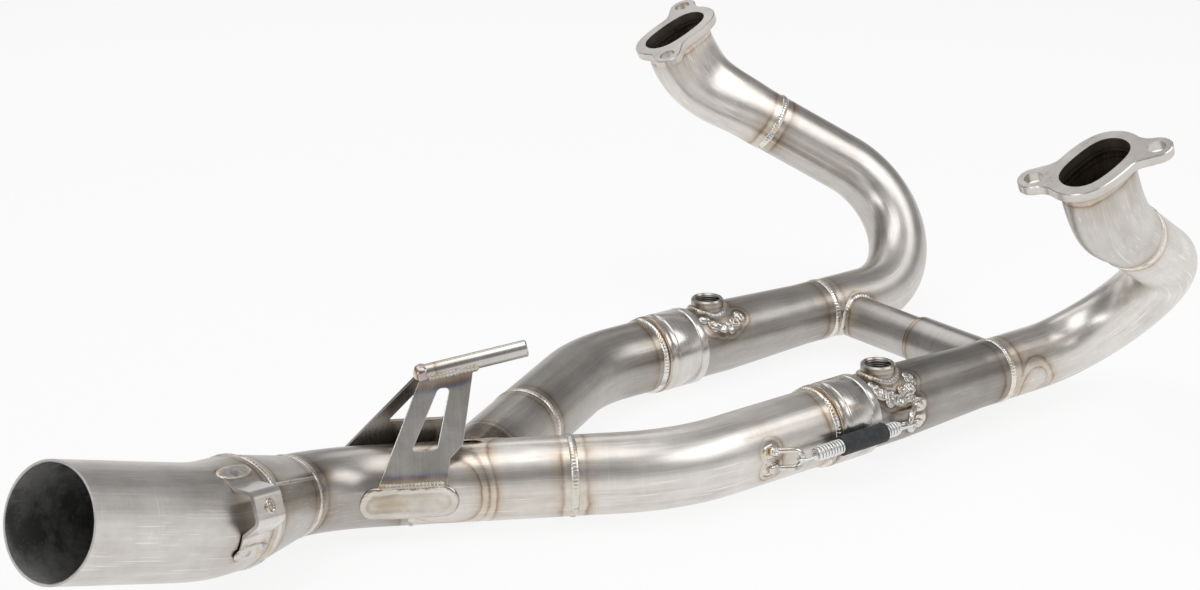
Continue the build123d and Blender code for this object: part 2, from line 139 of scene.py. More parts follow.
# Weld dabs beside each boss: place along the tube in mm, turn round it and twist in degrees,
# then length, width and height in mm
BOSS_DABS = {
    -1: ((-12.5, 46, 20, 12.5, 8.5, 2.3), (-7.5, 56, -55, 12, 8, 2.6), (-1.0, 62, 25, 12, 8, 2.1),
         (4.5, 54, 65, 11.5, 8, 2.5), (10.0, 50, -20, 12.5, 8.5, 2.4),
         (14.0, 35, 75, 11, 7.5, 2.1), (-15.0, 32, 80, 10, 7, 1.9), (8.0, 64, 5, 10, 6.5, 1.8)),
    1: ((-9.5, 47, 65, 9.5, 7, 2.2), (-3.0, 53, 40, 10, 7, 2.4), (3.5, 56, 75, 9.5, 6.5, 2.1),
        (9.0, 50, 15, 10, 7, 2.3), (14.5, 42, 55, 9, 6.5, 2.1), (-13.5, 34, 10, 9, 6.5, 2.0))}

# Each hanger leg's rear foot and its window, in millimetres along the collector and up the leg
HANGER_CUTS = {
    "right": (-11, ((9.6, 18), (24, 18), (32.8, 53.5), (26.4, 53.5))),
    "left": (-36, ((-2.5, 26.5), (31, 26.5), (36.5, 53), (18.5, 53)))}

# Weld beads, and the sensor bosses' threads
BEAD_WIDTH = 4.6 * MM
BEAD_HEIGHT = 0.45 * MM
SOCKET_BEAD_HEIGHT = 1.3 * MM
SADDLE_LEG = 2.6 * MM
SADDLE_RISE = 1.6 * MM
THREAD_PITCH = 1.5 * MM
THREAD_DEPTH = 0.75 * MM
THREAD_TURNS = 5.5
THREAD_STEPS = 40

# Turned shapes, in millimetres: place along the axis, then radius, or height for the socket
SOCKET_PROFILE = (
    (-4.0, 0), (-4.0, 1.3), (-3.7, 1.75), (-3.2, 1.95), (-0.6, 2.0), (0.0, 1.7), (0.5, 1.55),
    (3.6, 1.55), (4.0, 1.75), (4.4, 1.98), (5.0, 2.0), (22.2, 1.95), (22.6, 1.55),
    (23.1, 1.55), (23.5, 1.95), (24.0, 2.0), (28.0, 1.98), (28.7, 1.7), (29.0, 1.2), (29.0, 0))
PIN_END_PROFILE = (
    (-1.4, 0), (-1.2, 1.6), (-0.6, 3.4), (0.3, 4.9), (1.4, 5.6), (3.0, 5.75), (4.8, 5.5),
    (6.2, 5.1), (6.6, 4.7), (6.6, 0))
PLUG_PROFILE = (
    (-0.6, 0), (-0.6, 4.25), (0.3, 4.4), (0.9, 4.1), (1.15, 3.5), (0.95, 2.9), (0.55, 2.4),
    (0.6, 1.9), (0.95, 1.2), (1.05, 0.6), (1.1, 0))

# Studio: the floor just under the two sockets, the camera, the room's grey by height, and each
# lamp's name, place, size and share of the key light's power
FLOOR_Z = -92.6 * MM
FLOOR_SIZE = 9
CAMERA_PLACE = mm(-472.7, -1062.0, 499.7)
CAMERA_WAY = Vector((0.5781, 0.7509, -0.3191))
ROOM = (
    (0.0, (1.0, 1.0, 1.0)), (0.09, (0.86, 0.86, 0.86)), (0.20, (0.36, 0.36, 0.365)),
    (0.48, (0.25, 0.25, 0.255)), (0.75, (0.36, 0.36, 0.365)), (1.0, (0.55, 0.55, 0.55)))
LAMPS_AIM = Vector((0.42, 0.06, -0.02))
LAMPS = (
    ("key", (1.15, -0.90, 1.05), (1.5, 0.8), 1.0),
    ("fill", (-1.35, -0.55, 0.85), (0.6, 1.1), 0.8),
    ("top", (0.20, 0.10, 1.60), (1.6, 0.9), 1.0),
    ("rim", (0.80, 1.35, 1.20), (1.6, 0.6), 0.45))


# ---------------------------------------------------------------- sizes and colours

class HeaderSteel(bpy.types.PropertyGroup):
    colour: FloatVectorProperty(
        name="Steel", description="Colour of the brushed stainless tubes",
        subtype="COLOR", min=0, max=1, default=(0.60, 0.578, 0.55))
    weld_colour: FloatVectorProperty(
        name="Weld metal", description="Colour of the bright weld beads",
        subtype="COLOR", min=0, max=1, default=(0.70, 0.675, 0.635))
    # The bores' darker colour is painted shade inside the pipes.
    bore_shade_colour: FloatVectorProperty(
        name="Bore", description="Colour of the tubes' unpolished insides",
        subtype="COLOR", min=0, max=1, default=(0.38, 0.375, 0.37))
    roughness: FloatProperty(
        name="Roughness", description="Mean roughness of the brushed tubes",
        subtype="FACTOR", min=0, max=1, default=0.33)
    tint: FloatProperty(
        name="Heat tint", description="Strength of the straw and brown bands beside the welds",
        subtype="FACTOR", min=0, max=1, default=0.9)


class HeaderWelds(bpy.types.PropertyGroup):
    pitch: FloatProperty(
        name="Ripple pitch", description="Distance from one weld ripple to the next",
        unit="LENGTH", min=0.0005, max=0.01, default=2.1 * MM)
    ripple: FloatProperty(
        name="Ripple height", description="Height of the ripples on a bead",
        unit="LENGTH", min=0, max=0.002, default=0.22 * MM)
    lumps: FloatProperty(
        name="Unevenness", description="Slow rise and fall of a hand-laid bead",
        unit="LENGTH", min=0, max=0.002, default=0.22 * MM)


class HeaderSprings(bpy.types.PropertyGroup):
    wire: FloatProperty(
        name="Wire", description="Diameter of the spring wire",
        unit="LENGTH", min=0.0005, max=0.004, default=1.8 * MM)
    pitch: FloatProperty(
        name="Coil pitch", description="Distance from one turn of the spring to the next",
        unit="LENGTH", min=0.0005, max=0.01, default=2.35 * MM)
    rubber: FloatVectorProperty(
        name="Rubber", description="Colour of the sleeve over the spring",
        subtype="COLOR", min=0, max=1, default=(0.026, 0.027, 0.029))


class HeaderStage(bpy.types.PropertyGroup):
    lens: FloatProperty(
        name="Focal length", description="The camera's focal length in millimetres",
        min=10, max=500, default=74.4)
    floor_colour: FloatVectorProperty(
        name="Floor", description="Colour of the floor",
        subtype="COLOR", min=0, max=1, default=(0.92, 0.92, 0.92))
    key_power: FloatProperty(
        name="Key light", description="Power of the large soft lamp at the front, in watts",
        subtype="POWER", min=0, max=1000, default=7.5)
    surround: FloatProperty(
        name="Surround", description="Brightness of the room round the object",
        min=0, max=2, default=1.0)


# ---------------------------------------------------------------- lines of the header

class Line:
    """A straight tube's centre line, with its own lengthwise and crosswise places."""

    def __init__(self, start, end):
        self.start = start
        self.axis = (end - start).normalized()
        self.side = self.axis.orthogonal().normalized()
        self.rise = self.axis.cross(self.side)

    def places(self, graph):
        return (graph.along(self.start, self.axis), graph.along(self.start, self.side),
                graph.along(self.start, self.rise))


class Bend:
    """The centre line of a tube with one bend: a straight run, an arc and a straight run."""

    def __init__(self, start, corner, end, radius):
        self.before = (corner - start).normalized()
        self.after = (end - corner).normalized()
        self.radius = radius
        self.half_turn = self.before.angle(self.after) / 2
        reach = radius * tan(self.half_turn)
        self.arc_start = corner - self.before * reach
        self.arc_end = corner + self.after * reach
        inward = (self.after - self.before * self.before.dot(self.after)).normalized()
        self.centre = self.arc_start + inward * radius
        self.middle = (self.before + self.after).normalized()
        self.outward = (corner - self.centre).normalized()
        self.rise = self.before.cross(inward)

    def places(self, graph):
        """Distance along the tube, out from its axis in the bend's plane, and off that plane."""
        turned = graph.along(self.centre, self.middle).math(
            "ARCTAN2", graph.along(self.centre, self.outward))
        is_before = turned < -self.half_turn
        is_after = turned > self.half_turn
        is_arc = 1 - is_before - is_after
        along = (is_before * graph.along(self.arc_start, self.before)
                 + turned.kept(-self.half_turn, self.half_turn) * self.radius
                 + is_after * graph.along(self.arc_end, self.after))
        height = graph.along(self.centre, self.rise)
        reach = graph.away(self.centre)
        flat = (reach * reach - height * height).most(0).math("SQRT")
        out = (is_before * graph.along(self.arc_start, (self.arc_start - self.centre).normalized())
               + is_arc * (flat - self.radius)
               + is_after * graph.along(self.arc_end, (self.arc_end - self.centre).normalized()))
        return along, out, height


def at_x(start, end, x):
    return start + (end - start) * ((x - start.x) / (end.x - start.x))


def towards(start, end, distance):
    return start + (end - start).normalized() * distance


right_corner = Vector((392.5 * MM, RIGHT_RUN_Y, MERGE_BEND.z))
left_corner = Vector((450 * MM, RIGHT_RUN_Y + RUN_SPACING, MERGE_BEND.z))
merge_point = at_x(right_corner, MERGE_BEND, MERGE_X)
rearward = (OUTLET_BEND - MERGE_BEND).normalized()
merge_turn = (MERGE_BEND - right_corner).angle(OUTLET_BEND - MERGE_BEND)
cone_front = MERGE_BEND + rearward * (MERGE_BEND_RADIUS * tan(merge_turn / 2) + BEND_LEAD)
cone_rear = cone_front + rearward * CONE_LENGTH
leg_axis = (right_corner - MERGE_BEND).normalized()
left_leg_axis = (left_corner - merge_point).normalized()
collector_start = merge_point - leg_axis * COLLECTOR_SEAM
right_leg_end = merge_point + leg_axis * RIGHT_LEG_SEAM
left_leg_end = merge_point + left_leg_axis * LEFT_LEG_SEAM
cone_slope = (OUTLET_R - LEG_R) / CONE_LENGTH
hanger_seat = merge_point - leg_axis * HANGER_BACK
pin_axis = leg_axis * cos(PIN_SLOPE) + UP * sin(PIN_SLOPE)
pin_back = hanger_seat + leg_axis * PIN_START + UP * PIN_HEIGHT
strap_side = UP.cross(rearward).normalized()
strap_up = rearward.cross(strap_side)
strap_out = strap_side * cos(STRAP_ANGLE) + strap_up * sin(STRAP_ANGLE)
strap_middle = cone_rear + rearward * STRAP_BACK


def pipe_lines(hand, leg_end, leg_corner, leg_radius, front_corner, port, stub_seam):
    """Every point and direction of one side's pipe, from the merge to the port."""
    run = (front_corner - leg_corner).normalized()
    outward = Vector((0, hand, 0))
    normal = Vector((-sin(PORT_TILT), hand * sin(PORT_SPLAY), cos(PORT_TILT))).normalized()
    port_corner = port - normal * PORT_DROP
    slip = at_x(leg_corner, front_corner, SLIP_X)
    stub_start = towards(port_corner, front_corner, stub_seam)
    spring_rear = at_x(leg_corner, front_corner, SPRING_REAR_X) + outward * SPRING_OUT
    return SimpleNamespace(
        hand=hand, run=run, outward=outward, leg_end=leg_end, leg_corner=leg_corner,
        leg_radius=leg_radius, front_corner=front_corner, port=port, normal=normal,
        port_corner=port_corner, slip=slip, stub_start=stub_start,
        slot_axis=Vector((cos(PORT_TILT), 0, sin(PORT_TILT))),
        front_seam=at_x(leg_corner, front_corner, FRONT_SEAM_X),
        boss_foot=at_x(leg_corner, front_corner, BOSS_X),
        downpipe=(port_corner - front_corner).normalized(),
        crossing=Vector((CROSSOVER_X, leg_corner.y, CROSSOVER_Z)),
        socket_bead=slip - run * (SOCKET_SHOULDER + 2.5 * MM),
        spring_rear=spring_rear, spring_front=spring_rear + run * SPRING_LENGTH)


SIDES = {
    "right": pipe_lines(-1, right_leg_end, right_corner, 132 * MM,
                        Vector((887.5 * MM, RIGHT_RUN_Y, MERGE_BEND.z + 5 * MM)),
                        mm(593.5, -144, 116.5), 59 * MM),
    "left": pipe_lines(1, left_leg_end, left_corner, 95 * MM,
                       Vector((851.5 * MM, RIGHT_RUN_Y + RUN_SPACING, MERGE_BEND.z)),
                       mm(628.5, 281, 114.5), 66 * MM),
}


def anchor_lines(side, end, away):
    """Where an anchor's loop peaks, where it stands on the tube, and which way is out there."""
    crest = end + away * HOOK_REACH
    root = crest - side.outward * SPRING_OUT + away * ANCHOR_REACH
    reach = side.leg_radius * tan((side.leg_corner - side.leg_end).angle(side.run) / 2)
    past = max(0, (side.leg_corner + side.run * reach - root).dot(side.run))
    turn = asin(past / (side.leg_radius + LEG_R))
    radial = side.outward * cos(turn) - side.run * sin(turn)
    root += side.run * past + (radial - side.outward) * side.leg_radius
    return crest, root, radial


ANCHORS = {
    (name, place): anchor_lines(side, end, away)
    for name, side in SIDES.items()
    for place, end, away in (("rear", side.spring_rear, -side.run),
                             ("front", side.spring_front, side.run))}


# ---------------------------------------------------------------- materials

class Value:
    """A socket that takes part in ordinary sums."""

    def __init__(self, graph, socket):
        self.graph, self.socket = graph, socket

    def math(self, operation, *others):
        return self.graph.add("ShaderNodeMath", {"operation": operation}, (self, *others))

    def __add__(self, other):
        return self.math("ADD", other)

    def __sub__(self, other):
        return self.math("SUBTRACT", other)

    def __rsub__(self, other):
        return self.graph.add("ShaderNodeMath", {"operation": "SUBTRACT"}, (other, self))

    def __mul__(self, other):
        return self.math("MULTIPLY", other)

    def __truediv__(self, other):
        return self.math("DIVIDE", other)

    def __gt__(self, other):
        return self.math("GREATER_THAN", other)

    def __lt__(self, other):
        return self.math("LESS_THAN", other)

    def __abs__(self):
        return self.math("ABSOLUTE")

    __radd__ = __add__
    __rmul__ = __mul__

    def least(self, other):
        return self.math("MINIMUM", other)

    def most(self, other):
        return self.math("MAXIMUM", other)

    def kept(self, low, high):
        return self.most(low).least(high)

    def step(self, low, high):
        """0 at low and 1 at high, straight between them."""
        return ((self - low) / (high - low)).kept(0, 1)


class Graph:
    """The nodes of one material, or of the world."""

    def __init__(self, tree):
        self.tree = tree
        tree.nodes.clear()

    def add(self, kind, settings=None, sockets=(), output=0):
        node = self.tree.nodes.new(kind)
        for key, value in (settings or {}).items():
            if key == "stops":
                ends = node.color_ramp.elements
                for end, (place, colour) in zip(ends, (value[0], value[-1])):
                    end.position, end.color = place, (*colour, 1)
                for place, colour in value[1:-1]:
                    ends.new(place).color = (*colour, 1)
            else:
                setattr(node, key, value)
        for key, value in sockets.items() if isinstance(sockets, dict) else enumerate(sockets):
            if isinstance(value, Value):
                self.tree.links.new(value.socket, node.inputs[key])
            else:
                node.inputs[key].default_value = value
        return Value(self, node.outputs[output]) if node.outputs else None

    @property
    def place(self):
        return self.add("ShaderNodeTexCoord", output="Object")

    def along(self, origin, direction):
        """Distance from origin in one direction."""
        return self.add("ShaderNodeVectorMath", {"operation": "DOT_PRODUCT"},
                        (self.place, direction), "Value") - origin.dot(direction)

    def away(self, point):
        """Distance from a point."""
        return self.add("ShaderNodeVectorMath", {"operation": "DISTANCE"},
                        (self.place, point), "Value")

    def off_line(self, point, direction):
        """Distance from a line."""
        gap = self.add("ShaderNodeVectorMath", {"operation": "SUBTRACT"}, (self.place, point))
        across = self.add("ShaderNodeVectorMath", {"operation": "CROSS_PRODUCT"},
                          (gap, direction))
        return self.add("ShaderNodeVectorMath", {"operation": "LENGTH"}, (across,), "Value")

    def speckle(self, scales, detail=3, roughness=0.6, places=None):
        """Noise from 0 to 1, finer in the directions whose scale is larger."""
        if not isinstance(scales, tuple):
            scales = (scales,) * 3
        if places is None:
            vector = self.add("ShaderNodeVectorMath", {"operation": "MULTIPLY"},
                              (self.place, scales))
        else:
            vector = self.add("ShaderNodeCombineXYZ", sockets=[
                place * scale for place, scale in zip(places, scales)])
        return self.add("ShaderNodeTexNoise", sockets={
            "Vector": vector, "Scale": 1, "Detail": detail, "Roughness": roughness})

    def mix(self, first, second, share, blend="MIX"):
        return self.add("ShaderNodeMix", {"data_type": "RGBA", "blend_type": blend},
                        {0: share, 6: first, 7: second}, 2)

    def bump(self, strength, height):
        return self.add("ShaderNodeBump", sockets={
            "Strength": strength, "Distance": 1, "Height": height})

    def shader(self, **sockets):
        surface = self.add("ShaderNodeBsdfPrincipled", sockets={
            key.replace("_", " "): value for key, value in sockets.items()})
        self.add("ShaderNodeOutputMaterial", sockets={"Surface": surface})


def material(name):
    made = bpy.data.materials.new(name)
    made.use_nodes = True
    return made, Graph(made.node_tree)


def toned(colour, *shares):
    """A colour made darker or lighter, by one share or one for each channel, with its alpha."""
    shares = shares * 3 if len(shares) == 1 else shares
    return (*[min(1, c * share) for c, share in zip(colour, shares)], 1)


# How heat leaves its mark: how far a place is from a weld, where 1 is the end of the tint. The
# tint's darkest stop, at 0, also paints shade where a weld or a part meets a tube.

def ring_heat(centre, axis, radius, reach=15 * MM):
    return lambda graph: abs(graph.along(centre, axis)).most(
        graph.away(centre) - radius - 2 * MM) / reach


def saddle_heat(point, axis, radius, near, limit, reach=13 * MM):
    return lambda graph: abs(graph.off_line(point, axis) - radius).most(
        graph.away(near) - limit) / reach


def spot_heat(point, radius, reach):
    return lambda graph: (graph.away(point) - radius).most(0) / reach


def strap_foot_heat(radius, reach):
    """Three spots along each of the strap bracket's two feet."""
    across = rearward.cross(strap_out)
    return [spot_heat(strap_middle + rearward * shift * MM
                      + (strap_out * cos(STRAP_FOOT_TO)
                         + across * sign * sin(STRAP_FOOT_TO)) * OUTLET_R, radius, reach)
            for sign in (-1, 1) for shift in (-9, 0, 9)]


# Heat tint by distance from a weld. The dark brown first stop is heat tint and painted shade: it
# puts a dark line where dabs, anchor feet, bosses and flanges meet what they stand on.
WELD_TINT_AND_SHADE = (
    (0.0, (0.42, 0.34, 0.27)), (0.13, (0.92, 0.86, 0.76)), (0.36, (1.0, 0.95, 0.87)),
    (0.45, (0.70, 0.55, 0.42)), (0.50, (0.42, 0.33, 0.30)), (0.56, (0.74, 0.63, 0.53)),
    (0.70, (0.93, 0.87, 0.79)), (1.0, (1.0, 1.0, 1.0)))
BLUE_TINT = (
    (0.0, (0.84, 0.78, 0.70)), (0.2, (0.98, 0.90, 0.76)), (0.38, (0.72, 0.50, 0.34)),
    (0.50, (0.46, 0.36, 0.46)), (0.62, (0.44, 0.50, 0.66)), (0.76, (0.80, 0.86, 0.94)),
    (1.0, (1.0, 1.0, 1.0)))


# The pad's colours from its middle to its edge: brown heat tint over the field, a near-white
# painted highlight over the rim's inner slope and crest, and a dark line at the outer edge that is
# heat tint and painted shade where the pad meets the tube.
PAD_TINT_HIGHLIGHT_AND_SHADE = (
    (0.0, (0.70, 0.63, 0.52)), (0.30, (0.80, 0.73, 0.62)), (0.52, (0.62, 0.55, 0.46)),
    (0.64, (0.98, 0.96, 0.92)), (0.84, (1.0, 0.98, 0.95)), (0.97, (0.50, 0.42, 0.38)),
    (1.0, (0.42, 0.38, 0.40)))


def pad_heat_and_light(centre, side):
    """From 0 along a pad's middle to 1 at its edge."""
    def share(graph):
        past = (abs(graph.along(centre, leg_axis)) - (PAD_LENGTH - PAD_WIDTH) / 2).most(0)
        across = graph.along(centre, side)
        return (past * past + across * across).math("SQRT") / (PAD_WIDTH / 2)
    return share


def heated(graph, colour, heat, strength, stops):
    """The colour with straw, brown and blue bands round the places that were heated; some stops
    also hold painted shade and highlight.
    """
    nearest = heat[0](graph)
    for source in heat[1:]:
        nearest = nearest.least(source(graph))
    wander = (graph.speckle((90, 90, 90), 3) - 0.5) * 0.3
    patchy = graph.speckle((38, 38, 38), 3, 0.6).step(0.36, 0.58) * 0.6 + 0.4
    bands = graph.add("ShaderNodeValToRGB", {"stops": stops}, (nearest + wander,))
    smoky = graph.mix(colour, (0.74, 0.69, 0.64, 1), (1 - nearest.step(0.7, 3.2)) * 0.5 * patchy,
                      "MULTIPLY")
    return graph.mix(smoky, bands, patchy * strength, "MULTIPLY"), nearest


def tube_steel(name, line, heat, tone_and_painted_light, bore=None):
    """Drawn and brushed stainless tube: lengthwise grain, soft clouds and a few scratches."""
    look = bpy.context.scene.header_steel
    made, graph = material(name)
    places = line.places(graph)
    clouds = graph.speckle((26, 26, 26), 4, 0.62)
    patches = graph.speckle((34, 95, 95), 4, 0.65, places)
    drawn = graph.speckle((4, 210, 210), 4, 0.7, places)
    grain = graph.speckle((9, 620, 620), 4, 0.7, places)
    rings = graph.speckle((420, 7, 7), 3, 0.6, places)
    scratch = graph.speckle((24, 1000, 1000), 2, 0.5, places).step(0.62, 0.68)
    scuffs = graph.speckle((1300, 22, 22), 2, 0.5, places).step(0.62, 0.68)
    # Painted light and shade: the brightness factor makes lit tubes lighter and shaded ones
    # darker, on top of each tube's own tone.
    steel = toned(look.colour, tone_and_painted_light)
    tone = clouds * 0.4 + patches * 0.3 + drawn * 0.3
    colour = graph.mix(toned(steel, 0.76, 0.74, 0.72), steel, tone.step(0.38, 0.58))
    colour = graph.mix(colour, toned(steel, 1.3),
                       scratch.most(scuffs * clouds.step(0.5, 0.7)) * 0.55)
    colour, nearest = heated(graph, colour, heat, look.tint, WELD_TINT_AND_SHADE)
    rough = (look.roughness + (clouds - 0.5) * 0.2 + (grain - 0.5) * 0.16
             + (drawn - 0.5) * 0.14 - (1 - nearest.step(0.1, 0.45)) * 0.08)
    metal = 1
    if bore:
        out = (places[1] * places[1] + places[2] * places[2]).math("SQRT")
        inside = 1 - out.step(bore - 0.45 * MM, bore - 0.25 * MM)
        stains = graph.speckle((34, 26, 26), 6, 0.7).step(0.42, 0.60)
        streaks = graph.speckle((60, 420, 420), 4, 0.7, places).step(0.54, 0.64)
        specks = graph.speckle((700, 700, 700), 2, 0.5).step(0.66, 0.70)
        # Painted shade: the bore is a darker copy of the steel, varied by stains, streaks and
        # specks.
        inner = graph.mix(toned(look.bore_shade_colour, 0.55), toned(look.bore_shade_colour, 1.5), stains)
        inner = graph.mix(inner, (0.72, 0.71, 0.70, 1),
                          (streaks * stains * 0.5).most(specks * 0.7))
        colour = graph.mix(colour, inner, inside)
        rough = rough + inside * 0.06
        metal = 1 - inside * 0.35
    relief = (grain * 0.5 + rings * 0.35 + clouds * 0.5 + drawn * 0.5) * 0.05 * MM
    graph.shader(Base_Color=colour, Metallic=metal, Roughness=rough.kept(0.08, 0.9),
                 Normal=graph.bump(0.55, relief))
    return made


def weld_steel(name, heat=(), stops=BLUE_TINT, tone_and_painted_light=1.0, rough=0.22):
    """Bright solidified weld metal, with straw and blue patches."""
    look = bpy.context.scene.header_steel
    made, graph = material(name)
    patches = graph.speckle((110, 110, 110), 3, 0.6)
    # Painted light and shade: the brightness factor makes some welds lighter and others darker, on
    # top of their own tone.
    bright = toned(look.weld_colour, tone_and_painted_light)
    straw, smoke = toned(bright, 0.90, 0.76, 0.58), toned(bright, 0.50, 0.48, 0.50)
    colour = graph.mix(bright, straw, patches.step(0.50, 0.66) * 0.8)
    colour = graph.mix(colour, smoke, (1 - patches.step(0.34, 0.46)) * 0.85)
    if heat:
        colour, _ = heated(graph, colour, heat, look.tint * 0.8, stops)
    skin = graph.speckle((1100, 1100, 1100), 3, 0.6)
    graph.shader(Base_Color=colour, Metallic=1,
                 Roughness=(rough + patches * 0.18).kept(0.05, 0.7),
                 Normal=graph.bump(0.5, skin * 0.05 * MM))
    return made


def turned_steel(name, line, heat=(), *, tone_and_painted_light, rough):
    """Machined stainless: fine tool marks round the piece's own axis."""
    look = bpy.context.scene.header_steel
    made, graph = material(name)
    places = line.places(graph)
    cuts = graph.speckle((1700, 14, 14), 3, 0.6, places)
    clouds = graph.speckle((60, 60, 60), 3, 0.6)
    # Painted light and shade: the brightness factor makes some machined pieces lighter and others
    # darker, on top of their own tone.
    bright = toned(look.colour, tone_and_painted_light)
    colour = graph.mix(toned(bright, 0.80), bright, (clouds * 0.5 + cuts * 0.5).step(0.35, 0.6))
    if heat:
        colour, _ = heated(graph, colour, heat, look.tint, WELD_TINT_AND_SHADE)
    graph.shader(Base_Color=colour, Metallic=1,
                 Roughness=(rough + (clouds - 0.5) * 0.12 + (cuts - 0.5) * 0.12).kept(0.06, 0.8),
                 Normal=graph.bump(0.6, cuts * 0.012 * MM))
    return made


def sheet_steel(name, line, heat, tone_and_painted_light, stops=BLUE_TINT, rough=0.27):
    """Cut and folded stainless sheet: straight grain, light dents and handling marks."""
    look = bpy.context.scene.header_steel
    made, graph = material(name)
    places = line.places(graph)
    grain = graph.speckle((18, 900, 900), 4, 0.7, places)
    clouds = graph.speckle((55, 55, 55), 3, 0.6)
    # Painted light and shade: the brightness factor makes some sheets lighter and others darker,
    # on top of their own tone.
    sheet = toned(look.colour, tone_and_painted_light)
    colour = graph.mix(toned(sheet, 0.84), toned(sheet, 1.06),
                       (clouds * 0.6 + grain * 0.4).step(0.32, 0.62))
    colour, _ = heated(graph, colour, heat, look.tint, stops)
    graph.shader(Base_Color=colour, Metallic=1,
                 Roughness=(rough + (clouds - 0.5) * 0.14 + (grain - 0.5) * 0.1).kept(0.06, 0.8),
                 Normal=graph.bump(0.6, (grain + clouds * 2) * 0.03 * MM))
    return made


def spring_steel(name):
    """Bright zinc-plated spring wire."""
    made, graph = material(name)
    skin = graph.speckle((500, 500, 500), 3, 0.6)
    dirt = graph.speckle((160, 160, 160), 2, 0.5).step(0.52, 0.72)
    colour = graph.mix((0.82, 0.82, 0.81, 1), (0.60, 0.59, 0.57, 1), dirt * 0.6)
    graph.shader(Base_Color=colour, Metallic=1, Roughness=0.22 + skin * 0.16,
                 Normal=graph.bump(0.4, skin * 0.03 * MM))
    return made


def rubber(name, line):
    """Matt black sleeve, a little dusty, with the coil showing faintly through it."""
    look = bpy.context.scene.header_springs
    made, graph = material(name)
    places = line.places(graph)
    dust = graph.speckle((240, 240, 240), 4, 0.7)
    pores = graph.speckle((1500, 1500, 1500), 2, 0.5)
    coils = (places[0] * (2 * pi / look.pitch)).math("SINE")
    colour = graph.mix((*look.rubber, 1), toned(look.rubber, 2.6), dust.step(0.45, 0.8))
    relief = coils * 0.02 * MM + pores * 0.05 * MM
    graph.shader(Base_Color=colour, Roughness=0.56 + dust * 0.25,
                 Normal=graph.bump(0.7, relief))
    return made


def dress(node, made):
    """Gives a CAD node its finish."""
    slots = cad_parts[node].material_slots
    if not slots:
        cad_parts[node].data.materials.append(made)
    for slot in slots:
        slot.material = made


def dress_tube(node, line, heat, tone_and_painted_light, bore=None):
    dress(node, tube_steel(f"{node}_steel", line, heat, tone_and_painted_light, bore))


# ---------------------------------------------------------------- shapes

def lathe(bm, origin, axis, profile, steps, closed=False):
    """Turns a profile of (distance along, radius) round an axis, and returns its points."""
    old = set(bm.verts)
    side = axis.orthogonal().normalized()
    points = [bm.verts.new(origin + axis * x + side * r) for x, r in profile]
    edges = [bm.edges.new(pair) for pair in zip(points, points[1:])]
    if closed:
        edges.append(bm.edges.new((points[-1], points[0])))
    bmesh.ops.spin(bm, geom=points + edges, cent=origin, axis=axis, angle=2 * pi, steps=steps,
                   use_merge=True)
    made = [v for v in bm.verts if v not in old]
    bmesh.ops.remove_doubles(bm, verts=made, dist=1e-6)
    return [v for v in bm.verts if v not in old]


class Wire:
    """Draws a round wire with straight pulls and turns."""

    def __init__(self, bm, start, direction, radius, sides=10):
        self.bm = bm
        matrix = Matrix.Translation(start) @ direction.to_track_quat("Z", "Y").to_matrix().to_4x4()
        ring = bmesh.ops.create_circle(bm, segments=sides, radius=radius, matrix=matrix)["verts"]
        self.ring = ring
        self.made = list(ring)
        self.edges = list({edge for v in ring for edge in v.link_edges})
        bmesh.ops.edgeloop_fill(bm, edges=self.edges)

    def pull(self, vector, steps=1):
        for _ in range(steps):
            grown = bmesh.ops.extrude_edge_only(self.bm, edges=self.edges)["geom"]
            self.ring = [g for g in grown if isinstance(g, bmesh.types.BMVert)]
            self.edges = [g for g in grown if isinstance(g, bmesh.types.BMEdge)]
            bmesh.ops.translate(self.bm, verts=self.ring, vec=vector / steps)
            self.made += self.ring
        return self

    def turn(self, centre, axis, angle, steps, rise=0.0):
        """Turns round an axis, and moves by rise along it with each step."""
        old = set(self.bm.verts)
        last = bmesh.ops.spin(self.bm, geom=self.ring + self.edges, cent=centre, axis=axis,
                              dvec=axis * rise, angle=angle, steps=steps)["geom_last"]
        self.ring = [g for g in last if isinstance(g, bmesh.types.BMVert)]
        self.edges = [g for g in last if isinstance(g, bmesh.types.BMEdge)]
        self.made += [v for v in self.bm.verts if v not in old]
        return self

    def end(self):
        bmesh.ops.edgeloop_fill(self.bm, edges=self.edges)
        return self.made


def ripple(phase):
    """A weld ripple: slow rise, quick fall."""
    return 0.5 + 0.5 * sin(phase + 0.7 * sin(phase))


def lump(place, size=7 * MM):
    return noise.noise(place / size)


def ring_bead(bm, centre, axis, radius, width, height, before=0.0, after=0.0, boost=1.0):
    """A weld bead round a tube, with ripples that lean the way the torch went."""
    look = bpy.context.scene.header_welds
    half = width / 2
    profile = []
    for step in range(11):
        share = step / 5 - 1
        slope = before if share < 0 else after
        profile.append((share * half, radius + abs(share) * half * slope
                        + height * (1 - share * share)))
    profile += [(half, radius - 0.3 * MM), (-half, radius - 0.3 * MM)]
    count = round(2 * pi * radius / look.pitch)
    side = axis.orthogonal().normalized()
    other = axis.cross(side)
    for v in lathe(bm, centre, axis, profile, count * 6, closed=True):
        place = v.co - centre
        share = place.dot(axis) / half
        out = place - axis * place.dot(axis)
        if out.length < radius - 0.1 * MM:
            continue
        angle = atan2(out.dot(other), out.dot(side))
        dome = max(0.0, 1 - share * share)
        rise = look.ripple * boost * dome * ripple(angle * count + 1.6 * share * share)
        rise += look.lumps * boost * dome * lump(v.co)
        v.co += out.normalized() * rise + axis * (0.35 * MM * lump(v.co + UP) * dome)


def to_run(point, outward, run_point, run_axis, run_radius):
    """How far a point moves outward to reach the surface of a run."""
    gap = point - run_point
    gap -= run_axis * gap.dot(run_axis)
    way = outward - run_axis * outward.dot(run_axis)
    a, b, c = way.dot(way), gap.dot(way), gap.dot(gap) - run_radius ** 2
    return (-b + sqrt(max(0.0, b * b - a * c))) / a


